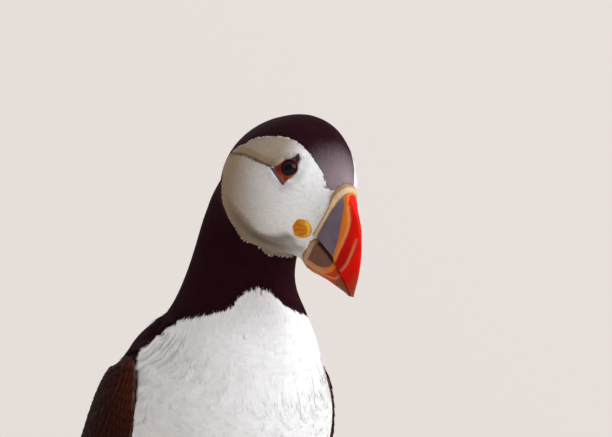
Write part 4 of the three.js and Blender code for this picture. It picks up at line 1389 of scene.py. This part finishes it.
class PUFFIN_OT_bill(bpy.types.Operator):
    """Both halves of the bill, with the fleshy ridges at their base"""

    bl_idname = "puffin.bill"
    bl_label = "Bill"

    def execute(self, context):
        colours = palette(context)
        lowered = [(f, u - SEAM) for f, u in CUTTING_EDGE]
        above = (CUTTING_EDGE, CULMEN, 1.0, RIDGE_SHARE)
        below = (lowered, GONYS, LOWER_SHARE, KEEL_SHARE)
        for name, outlines, end, slot, node in (
            ("upper_bill", above, 0.985, "bill", "bill_upper"),
            ("lower_bill", below, 0.97, "lower_bill", "bill_lower"),
        ):
            piece = bill_half(name, *outlines, (0.02, end), 0.0, *BILL_GRID)
            points = points_of(piece)
            f, _, u = to_head(points)
            _, _, _, ahead = line_distance(CHEVRON, f, u)
            _, _, _, past_first = line_distance(GROOVES[0], f, u)
            _, _, _, past_second = line_distance(GROOVES[1], f, u)
            upper = slot == "bill"
            if upper:
                band = step(-0.15, 0.15, ahead) * step(0.35, -0.35, past_first)
            else:
                band = step(-0.15, 0.15, ahead) * step(CHEVRON_WIDE + 0.3, CHEVRON_WIDE - 0.3, ahead)
            plate = step(-0.25, -0.5, ahead)
            pale = step(-0.55, -0.3, ahead) * step(0.1, -0.1, ahead) * 0.8
            cut = np.zeros(len(points))
            for line in GROOVES[:2] if upper else GROOVES[2:]:
                away, _, share, _ = line_distance(line, f, u)
                fading = np.sin(math.pi * np.clip(share, 0.06, 0.94)) ** 0.5
                cut = np.maximum(cut, np.exp(-((away / GROOVE_WIDE) ** 2)) * fading)
            from_edge, _, _, _ = line_distance(outlines[0], f, u)
            lip = step(0.9, 0.2, from_edge) * step(2, -1, ahead)
            from_keel, _, _, _ = line_distance(GONYS, f, u)
            if upper:
                deep = step(0, 0.6, past_first) * step(0.6, -0.2, past_second) * step(4, -4, u) * 0.9
                cream = np.zeros(len(points))
                tip = step(46, 50.5, f) * 0.8
                swell = 0.16 * np.sin(math.pi * np.clip(past_first / 4.5, 0, 1))
            else:
                deep = np.zeros(len(points))
                cream = np.maximum(step(2.0, 0.5, from_keel) * step(38, 32, f), band * step(39, 33, f))
                tip = step(40.5, 44, f) * 0.85 * step(-7.5, -10, u)
                swell = 0.0
            relief = 0.28 * band - 0.38 * cut - 0.12 * plate + swell
            move_points(piece, points + normals_of(piece) * relief[:, None])
            set_values(piece, "band", band)
            set_values(piece, "plate", plate * (1 - cream * 0.7))
            set_values(piece, "pale", np.maximum(pale, cut * 0.75))
            set_values(piece, "lip", lip * 0.8)
            set_values(piece, "deep", deep)
            set_values(piece, "tip", tip)
            set_values(piece, "cream", cream * 0.8)
            if upper:
                cover(piece, horn("Bill horn", colours, "bill", False))
            else:
                cover(piece, horn("Lower bill horn", colours, "bill_low", True))
            hand_over(piece, slot, node)
        for name, outlines, sizes, material, tint, node in (
            ("cere_skin", above, CERE, "Pitted waxy skin", "cere", "cere"),
            ("lower_rim", below, RIM, "Waxy rim", "rim", "mandible_rim"),
        ):
            piece = bill_half(name, *outlines, sizes["reach"], sizes["rise"], *RIDGE_GRID)
            points = points_of(piece)
            grain = np.array([noise.noise(Vector(p / 0.55)) for p in points])
            crack = np.array([noise.noise(Vector(p / 1.6)) for p in points])
            move_points(piece, points + normals_of(piece) * (0.09 * grain + 0.1 * crack)[:, None])
            steps, ring = RIDGE_GRID
            rows = np.concatenate([np.repeat(np.linspace(0, 1, steps + 1), ring), [0, 1]])
            # At the sides the feathers run forward over the cere, and leave a narrower band.
            if node == "cere":
                _, _, u = to_head(points)
                bow = 2.1 * step(-4.6, -0.5, u) * step(12.5, 8, u) * (1 - rows)
                move_points(piece, points_of(piece) + bow[:, None] * head_way(1, 0, 0))
            # Browner towards the rear of each ridge, next to the feathers.
            set_values(piece, "rear_brown", step(0.62, 0.4, rows) * 0.7)
            set_values(piece, "dark_edge", step(0.88, 0.99, rows) * 0.7)
            over = (("rear_brown", colours["cere_stain"]), ("dark_edge", colours["lip"]))
            cover(piece, fleshy(material, colours[tint], colours["cere_low"], 0.55, over))
            hand_over(piece, "cere", node)
        return {"FINISHED"}


class PUFFIN_OT_rosettes(bpy.types.Operator):
    """Wrinkled yellow patches at the corners of the mouth"""

    bl_idname = "puffin.rosettes"
    bl_label = "Rosettes"

    def execute(self, context):
        colours = palette(context)
        # Painted shade in the folds and at the base against the face; a bright rim towards the bill.
        over = (
            ("groove", colours["rosette_fold"]), ("bright", colours["rosette_rim"]),
            ("root", colours["rosette_fold"]),
        )
        pitch = math.radians(HEAD_TURN["pitch"])
        for side, sign in SIDES.items():
            bpy.ops.object.select_all(action="DESELECT")
            bpy.ops.mesh.primitive_uv_sphere_add(segments=72, ring_count=36, radius=1)
            piece = context.object
            piece.name = f"rosette_{side}_skin"
            x, y, z = (points_of(piece) * MM).T
            ahead, out = -sign * x, np.hypot(x, y)
            # Folds run back from the corner of the mouth.
            level = ahead * math.cos(pitch) + y * math.sin(pitch)
            height = 1.3 * (y * math.cos(pitch) - ahead * math.sin(pitch))
            reach = np.hypot(level - 1.5, height)
            angle = np.arctan2(height, 1.5 - level)
            fold = np.sin(angle * 16 + 1.1 * np.sin(reach * 3)) * step(0.15, 0.5, z) * step(2.5, 1.6, reach)
            rim = np.exp(-(((out - 0.86) / 0.12) ** 2)) * step(-0.2, 0.3, z)
            size = 1 + 0.045 * fold + 0.07 * rim - 0.05 * np.exp(-((out / 0.5) ** 2))
            narrow = 1 - 0.16 * step(-0.2, -1, y) - 0.08 * step(0.2, 1, ahead)
            shape = [x * narrow * ROSETTE["along"], y * ROSETTE["tall"], z * ROSETTE["thick"]]
            origin, axes = face_frame(ROSETTE, ROSETTE_FACES, sign)
            move_points(piece, origin + np.stack(shape, 1) * size[:, None] @ axes)
            # Painted shade in the troughs of the folds.
            set_values(piece, "groove", np.clip(-fold, 0, 1) * 0.75)
            set_values(piece, "bright", np.clip(rim * step(-0.3, 0.6, ahead), 0, 1))
            # Painted shade at the base, against the face.
            set_values(piece, "root", step(0.45, -0.2, z))
            smooth(piece)
            cover(piece, fleshy(
                "Wrinkled gape skin", colours["rosette"], colours["rosette_low"], 0.7, over, 0.45
            ))
            hand_over(piece, "rosette", "rosette_" + side)
        return {"FINISHED"}


def seat(tree, origin, axes, x, y):
    """Heights of the skin over places beside the eye, along the eye's axis."""
    found = []
    for a, b in zip(x, y):
        start = origin + np.array([a, b, 12]) @ axes
        hit = tree.ray_cast(Vector(start), Vector(-axes[2]), 30)
        found.append(12 - hit[3] if hit[0] is not None else 0)
    return np.clip(np.array(found), *EYE_BED)


def horn_plate(outline, sign, tree, origin, axes):
    """A small rounded plate of horn, standing on the skin beside the eye."""
    bpy.ops.object.select_all(action="DESELECT")
    shape = bmesh.new()
    corners = [shape.verts.new((-sign * f, u, -1.2)) for f, u in outline]
    shape.faces.new(corners)
    mesh = bpy.data.meshes.new("plate")
    shape.to_mesh(mesh)
    shape.free()
    plate = bpy.data.objects.new("plate", mesh)
    bpy.context.scene.collection.objects.link(plate)
    alone(plate)
    bpy.ops.object.mode_set(mode="EDIT")
    bpy.ops.mesh.select_all(action="SELECT")
    bpy.ops.mesh.extrude_region_move(TRANSFORM_OT_translate={"value": (0, 0, PLATE_THICK)})
    bpy.ops.mesh.select_all(action="SELECT")
    bpy.ops.mesh.normals_make_consistent(inside=False)
    bpy.ops.object.mode_set(mode="OBJECT")
    modify(plate, "BEVEL", width=0.32, segments=3, limit_method="ANGLE")
    modify(plate, "SUBSURF", levels=3, render_levels=3, subdivision_type="SIMPLE")
    modify(plate, "SMOOTH", factor=0.5, iterations=5)
    local = points_of(plate) * MM
    local[:, 2] += seat(tree, origin, axes, local[:, 0], local[:, 1]) + 0.15
    move_points(plate, origin + local @ axes)
    smooth(plate)
    return plate


class PUFFIN_OT_eyes(bpy.types.Operator):
    """Eyes, the red rings round them and the horn plates above and below"""

    bl_idname = "puffin.eyes"
    bl_label = "Eyes"

    def execute(self, context):
        colours = palette(context)
        # Painted shade in the ring's furrows and at its inner edge; orange at its lower corner.
        over = (
            ("low", colours["ring_warm"]), ("furrow_shade", colours["ring_low"]), ("inside", colours["ring_low"]),
        )
        tree = Ground(bpy.data.objects["skin"]).tree
        for side, sign in SIDES.items():
            origin, axes = face_frame(EYE, EYE_FACES, sign)
            bpy.ops.object.select_all(action="DESELECT")
            bpy.ops.mesh.primitive_uv_sphere_add(segments=64, ring_count=40, radius=EYE["ball"])
            ball = context.object
            ball.name = f"eyeball_{side}"
            local = points_of(ball) * MM
            away = np.hypot(local[:, 0], local[:, 1])
            ahead = local[:, 2] > 0
            cornea = 0.35 * step(2.6, 0.4, away) * ahead
            local[:, 2] += EYE["bulge"] - EYE["ball"] + cornea
            move_points(ball, origin + local @ axes)
            pupil = step(PUPIL + 0.1, PUPIL - 0.1, away) * ahead
            set_values(ball, "pupil", np.maximum(pupil, step(2.7, 2.9, away) * 0.6))
            smooth(ball)
            cover(ball, eyeball("Wet cornea", colours))
            hand_over(ball, "eye", "eye_" + side)
            bpy.ops.object.select_all(action="DESELECT")
            bpy.ops.mesh.primitive_torus_add(
                major_radius=3, minor_radius=1, major_segments=120, minor_segments=20,
            )
            ring = context.object
            ring.name = f"eye_surround_{side}"
            local = points_of(ring) * MM
            turn = np.degrees(np.arctan2(local[:, 1], -sign * local[:, 0]))
            across = np.hypot(local[:, 0], local[:, 1]) - 3
            # The round section is laid flat between the ring's inner and outer outlines.
            outer = drawn_out(turn, EYE_RING["outer"], EYE_CORNERS)
            reach = EYE_RING["inner"] + (outer - EYE_RING["inner"]) * (across + 1) / 2
            local[:, :2] *= (reach / (across + 3))[:, None]
            bed = seat(tree, origin, axes, local[:, 0], local[:, 1])
            far = step(3.0, 4.2, reach)
            wave = np.sin(np.radians(turn) * EYE_RING["beads"])
            beads = 0.05 * wave * step(0.2, 0.9, local[:, 2])
            local[:, 2] = local[:, 2] * (0.34 + 0.1 * far) + beads + 0.1 * (1 - far) + (bed + 0.25) * far
            local[:, 2] -= 0.5 * step(0.3, 1, across) * (1 - far)
            move_points(ring, origin + local @ axes)
            # Painted shade at the inner edge, against the eye.
            set_values(ring, "inside", step(-0.3, -1, across))
            set_values(ring, "low", step(200, 300, turn % 360) * step(359, 315, turn % 360))
            # Painted shade in the troughs between the beads.
            set_values(ring, "furrow_shade", np.clip(-wave, 0, 1) * 0.5)
            smooth(ring)
            cover(ring, fleshy("Orbital ring skin", colours["ring"], colours["ring_low"], 0.5, over, 0.4))
            plates_made = [horn_plate(each, sign, tree, origin, axes) for each in (UPPER_PLATE, LOWER_PLATE)]
            for plate in plates_made:
                cover(plate, slate("Horn plates", colours))
            hand_over(joined([ring, *plates_made]), "eye_frame", "eye_frame_" + side)
        return {"FINISHED"}


def for_each(values, grid):
    """One number for each vane, at every point of its grid."""
    return np.asarray(values, float)[:, None, None] * np.ones(grid)


def covert_rows(share_at, half_at, rng):
    """Coverts in staggered rows, small at the shoulder and along the leading edge."""
    share, turn, length, half = [], [], [], []
    at, row = COVERT_ROWS[0], 0
    while at < COVERT_ROWS[1]:
        here = float(share_at(at))
        grown = min(at / COVERT_GROWN, 1)
        size = COVERT_SIZE[0] + COVERT_SIZE[1] * grown
        gap = COVERT_GAP[0] + COVERT_GAP[1] * grown
        degrees = math.degrees(1 / float(half_at(here)))
        for v in np.arange(-34 + (row % 2) * gap * degrees / 2, 200, gap * degrees):
            near_edge = 1 - 0.35 * math.exp(-((v / 40) ** 2))
            share.append(here)
            turn.append(v + rng.normal(0, 0.8))
            length.append(float(share_at(at + size * 1.55 * near_edge)) - here)
            half.append(gap * 0.78 * degrees * (0.94 + 0.12 * rng.random()))
        at += gap * 0.86
        row += 1
    return share, turn, length, half


def quill_rows():
    """Primaries, and the secondaries over them: share, turn, end, half-width, slant, low and high lift."""
    rows = []
    for k in range(11):
        inner = k / 10
        end = 1.0 - 0.36 * inner**0.8
        low, high = -0.6 + 0.35 * inner, -0.5 + 0.5 * inner
        rows.append((0.34, 38 + 100 * inner, end, 17 + 4 * inner, -12 + 16 * inner, low, high))
    for k in range(9):
        inner = k / 8
        end = 0.64 - 0.1 * inner + 0.12 * inner**2
        rows.append((0.36, 52 + 104 * inner, end, 11, 4, -0.2, 0.15 + 0.3 * inner))
    return np.array(rows, float).T


class PUFFIN_OT_wings(bpy.types.Operator):
    """Coverts and flight feathers of the folded wings"""

    bl_idname = "puffin.wings"
    bl_label = "Wing feathers"

    def execute(self, context):
        material = vaned("Wing feathers", palette(context))
        rng = np.random.default_rng(31)
        shares = np.linspace(0, 1, 201)
        line = along(WING, shares)[:, :3]
        run = np.concatenate([[0], np.cumsum(np.linalg.norm(np.diff(line, axis=0), axis=1))])

        def share_at(distance):
            """Share of the wing's length at a distance along it."""
            return np.interp(distance, run, shares)

        def half_at(share):
            """Half the wing's width there."""
            return along(WING, share)[..., 3]

        for side, sign in SIDES.items():
            share, turn, length, half = covert_rows(share_at, half_at, rng)
            count = len(share)
            shape = {
                "length": length, "half": half, "slant": rng.normal(2, 1.2, count),
                "low": np.full(count, -0.5), "high": 0.02 + 0.14 * rng.random(count),
                "camber": np.full(count, 0.1), "tip": np.full(count, 0.5),
            }
            coverts = feathers(f"coverts_{side}", wing_face, sign, (share, turn), shape, *COVERT_GRID)
            turn_of, share_of = for_each(turn, COVERT_GRID), for_each(share, COVERT_GRID)
            plate_values(
                coverts,
                tone=for_each(rng.random(count), COVERT_GRID) * 0.6,
                rust=step(0.3, 0.06, share_of) * step(110, 20, turn_of) * 0.6,
                edge=step(5, 0, np.abs(turn_of + 4)) * 0.6,
            )
            each = COVERT_GRID[0] * COVERT_GRID[1]
            rolled = np.stack([turn_of.ravel() / 240 + 0.15, share_of.ravel() * 1.55], 1)
            rolled = np.repeat(rolled.reshape(count, 1, each, 2), 2, 1).reshape(-1, 2)
            patch_map(coverts, rolled, 2 * each)
            cover(coverts, material)
            hand_over(coverts, "wing_feathers")
            share, turn, end, half, slant, low, high = quill_rows()
            count = len(share)
            shape = {
                "length": end - share, "half": half, "slant": slant, "low": low, "high": high,
                "camber": np.full(count, 0.25), "tip": np.full(count, 0.14),
            }
            quills = feathers(f"flight_feathers_{side}", wing_face, sign, (share, turn), shape, *QUILL_GRID)
            plain = for_each(np.zeros(count), QUILL_GRID)
            tone = for_each(rng.random(count), QUILL_GRID) * 0.5
            plate_values(quills, tone=tone, rust=plain, edge=plain)
            cover(quills, material)
            hand_over(quills, "wing_feathers")
        return {"FINISHED"}


class PUFFIN_OT_tail(bpy.types.Operator):
    """Sixteen tail feathers"""

    bl_idname = "puffin.tail"
    bl_label = "Tail feathers"

    def execute(self, context):
        rng = np.random.default_rng(41)
        count = TAIL_FEATHERS
        at = np.linspace(-0.86, 0.86, count)
        order = 1 - np.abs(at)
        shape = {
            "length": np.full(count, 1.14), "half": np.full(count, 0.16), "slant": np.zeros(count),
            "low": -0.9 + 0.5 * order, "high": -0.7 + 0.9 * order, "camber": np.full(count, 0.2),
            "tip": np.full(count, 0.09),
        }
        piece = feathers("tail_feathers", tail_face, 1, (np.full(count, -0.15), at), shape, *TAIL_GRID)
        plain = for_each(np.zeros(count), TAIL_GRID)
        plate_values(piece, tone=for_each(rng.random(count), TAIL_GRID) * 0.8, rust=plain, edge=plain)
        cover(piece, vaned("Wing feathers", palette(context)))
        hand_over(piece, "black_feathers", "tail")
        return {"FINISHED"}


class PUFFIN_OT_claws(bpy.types.Operator):
    """Six curved claws"""

    bl_idname = "puffin.claws"
    bl_label = "Claws"

    def execute(self, context):
        material = slate("Claw horn", palette(context))
        for side in SIDES:
            for toe in ("inner", "middle", "outer"):
                node = f"claw_{toe}_{side}"
                piece = bpy.data.objects.new(f"{toe}_claw_{side}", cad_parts[node].data.copy())
                context.scene.collection.objects.link(piece)
                alone(piece)
                bpy.ops.object.mode_set(mode="EDIT")
                bpy.ops.mesh.select_all(action="SELECT")
                bpy.ops.mesh.remove_doubles(threshold=1e-5)
                bpy.ops.mesh.tris_convert_to_quads()
                bpy.ops.object.mode_set(mode="OBJECT")
                modify(piece, "SUBSURF", levels=2, render_levels=2)
                smooth(piece)
                cover(piece, material)
                hand_over(piece, "claw", node)
        return {"FINISHED"}


class PUFFIN_OT_stage(bpy.types.Operator):
    """Floor, lights and camera"""

    bl_idname = "puffin.stage"
    bl_label = "Stage"

    def execute(self, context):
        scene = context.scene
        bpy.ops.object.select_all(action="DESELECT")
        bpy.ops.mesh.primitive_plane_add(size=FLOOR_WIDE, location=(0, 0, 0))
        floor = context.object
        floor.name = "floor"
        # Studio paper: matt, with a very faint cloudiness.
        made, tree = new_material("Matt paper")
        grain = add_node(tree, "ShaderNodeTexNoise", {"Scale": 40, "Detail": 3}).outputs[0]
        pair = {0: grain, 6: linear("#d9d5cf"), 7: linear("#d3cfc8")}
        tint = add_node(tree, "ShaderNodeMix", pair, data_type="RGBA")
        shade(tree, tint.outputs[2], 0.9)
        floor.data.materials.append(made)
        world = scene.world or bpy.data.worlds.new("World")
        scene.world = world
        world.use_nodes = True
        # Pale room, brighter on the side of the windows, dimmer on the other.
        tree = world.node_tree
        way = add_node(tree, "ShaderNodeTexCoord").outputs["Generated"]
        towards = {0: way, 1: ROOM["bright_side"]}
        facing = add_node(tree, "ShaderNodeVectorMath", towards, operation="DOT_PRODUCT").outputs["Value"]
        span = {"Value": facing, "From Min": -1, "To Min": ROOM["dim"], "To Max": ROOM["bright"]}
        bright = add_node(tree, "ShaderNodeMapRange", span)
        tree.nodes["Background"].inputs[0].default_value = linear(ROOM["colour"])
        tree.links.new(bright.outputs[0], tree.nodes["Background"].inputs[1])
        for name, place, size, power in LAMPS:
            data = bpy.data.lights.new(name, "AREA")
            data.shape = "DISK"
            data.size = size
            data.energy = power
            data.color = LAMP_COLOUR
            lamp = bpy.data.objects.new(name, data)
            scene.collection.objects.link(lamp)
            lamp.location = place
            turned = (Vector(LAMP_AIM) - lamp.location).to_track_quat("-Z", "Y")
            lamp.rotation_euler = turned.to_euler()
        data = bpy.data.cameras.new("camera")
        camera = bpy.data.objects.new("camera", data)
        scene.collection.objects.link(camera)
        camera.location = Vector(CAMERA["at"]) * MM
        aim = Vector(CAMERA["aim"]) * MM
        camera.rotation_euler = (aim - camera.location).to_track_quat("-Z", "Y").to_euler()
        data.sensor_width = CAMERA["sensor"]
        data.lens = CAMERA["lens"]
        data.clip_end = 20
        scene.camera = camera
        scene.view_settings.view_transform = "Standard"
        return {"FINISHED"}


class PUFFIN_PT_steps(bpy.types.Panel):
    """Lists the steps in the order they are made, with the settings above them"""

    bl_idname = "PUFFIN_PT_steps"
    bl_label = "Puffin"
    bl_space_type = "VIEW_3D"
    bl_region_type = "UI"
    bl_category = "Puffin"

    def draw(self, context):
        for held in (context.scene.puffin_sizes, context.scene.puffin_colours):
            box = self.layout.box()
            for name in type(held).__annotations__:
                box.prop(held, name)
        for step_made in STEPS:
            self.layout.operator(step_made.bl_idname)


STEPS = [
    PUFFIN_OT_skin, PUFFIN_OT_head_coat, PUFFIN_OT_body_coat, PUFFIN_OT_bill, PUFFIN_OT_rosettes,
    PUFFIN_OT_eyes, PUFFIN_OT_wings, PUFFIN_OT_tail, PUFFIN_OT_claws, PUFFIN_OT_stage,
]
CLASSES = [PuffinSizes, PuffinColours, *STEPS, PUFFIN_PT_steps]


def register():
    for each in CLASSES:
        bpy.utils.register_class(each)
    bpy.types.Scene.puffin_sizes = bpy.props.PointerProperty(type=PuffinSizes)
    bpy.types.Scene.puffin_colours = bpy.props.PointerProperty(type=PuffinColours)


def unregister():
    del bpy.types.Scene.puffin_sizes
    del bpy.types.Scene.puffin_colours
    for each in reversed(CLASSES):
        bpy.utils.unregister_class(each)


def main():
    register()
    bpy.ops.puffin.skin()
    bpy.ops.puffin.head_coat()
    bpy.ops.puffin.body_coat()
    bpy.ops.puffin.bill()
    bpy.ops.puffin.rosettes()
    bpy.ops.puffin.eyes()
    bpy.ops.puffin.wings()
    bpy.ops.puffin.tail()
    bpy.ops.puffin.claws()
    bpy.ops.puffin.stage()


if __name__ == "__main__":
    main()
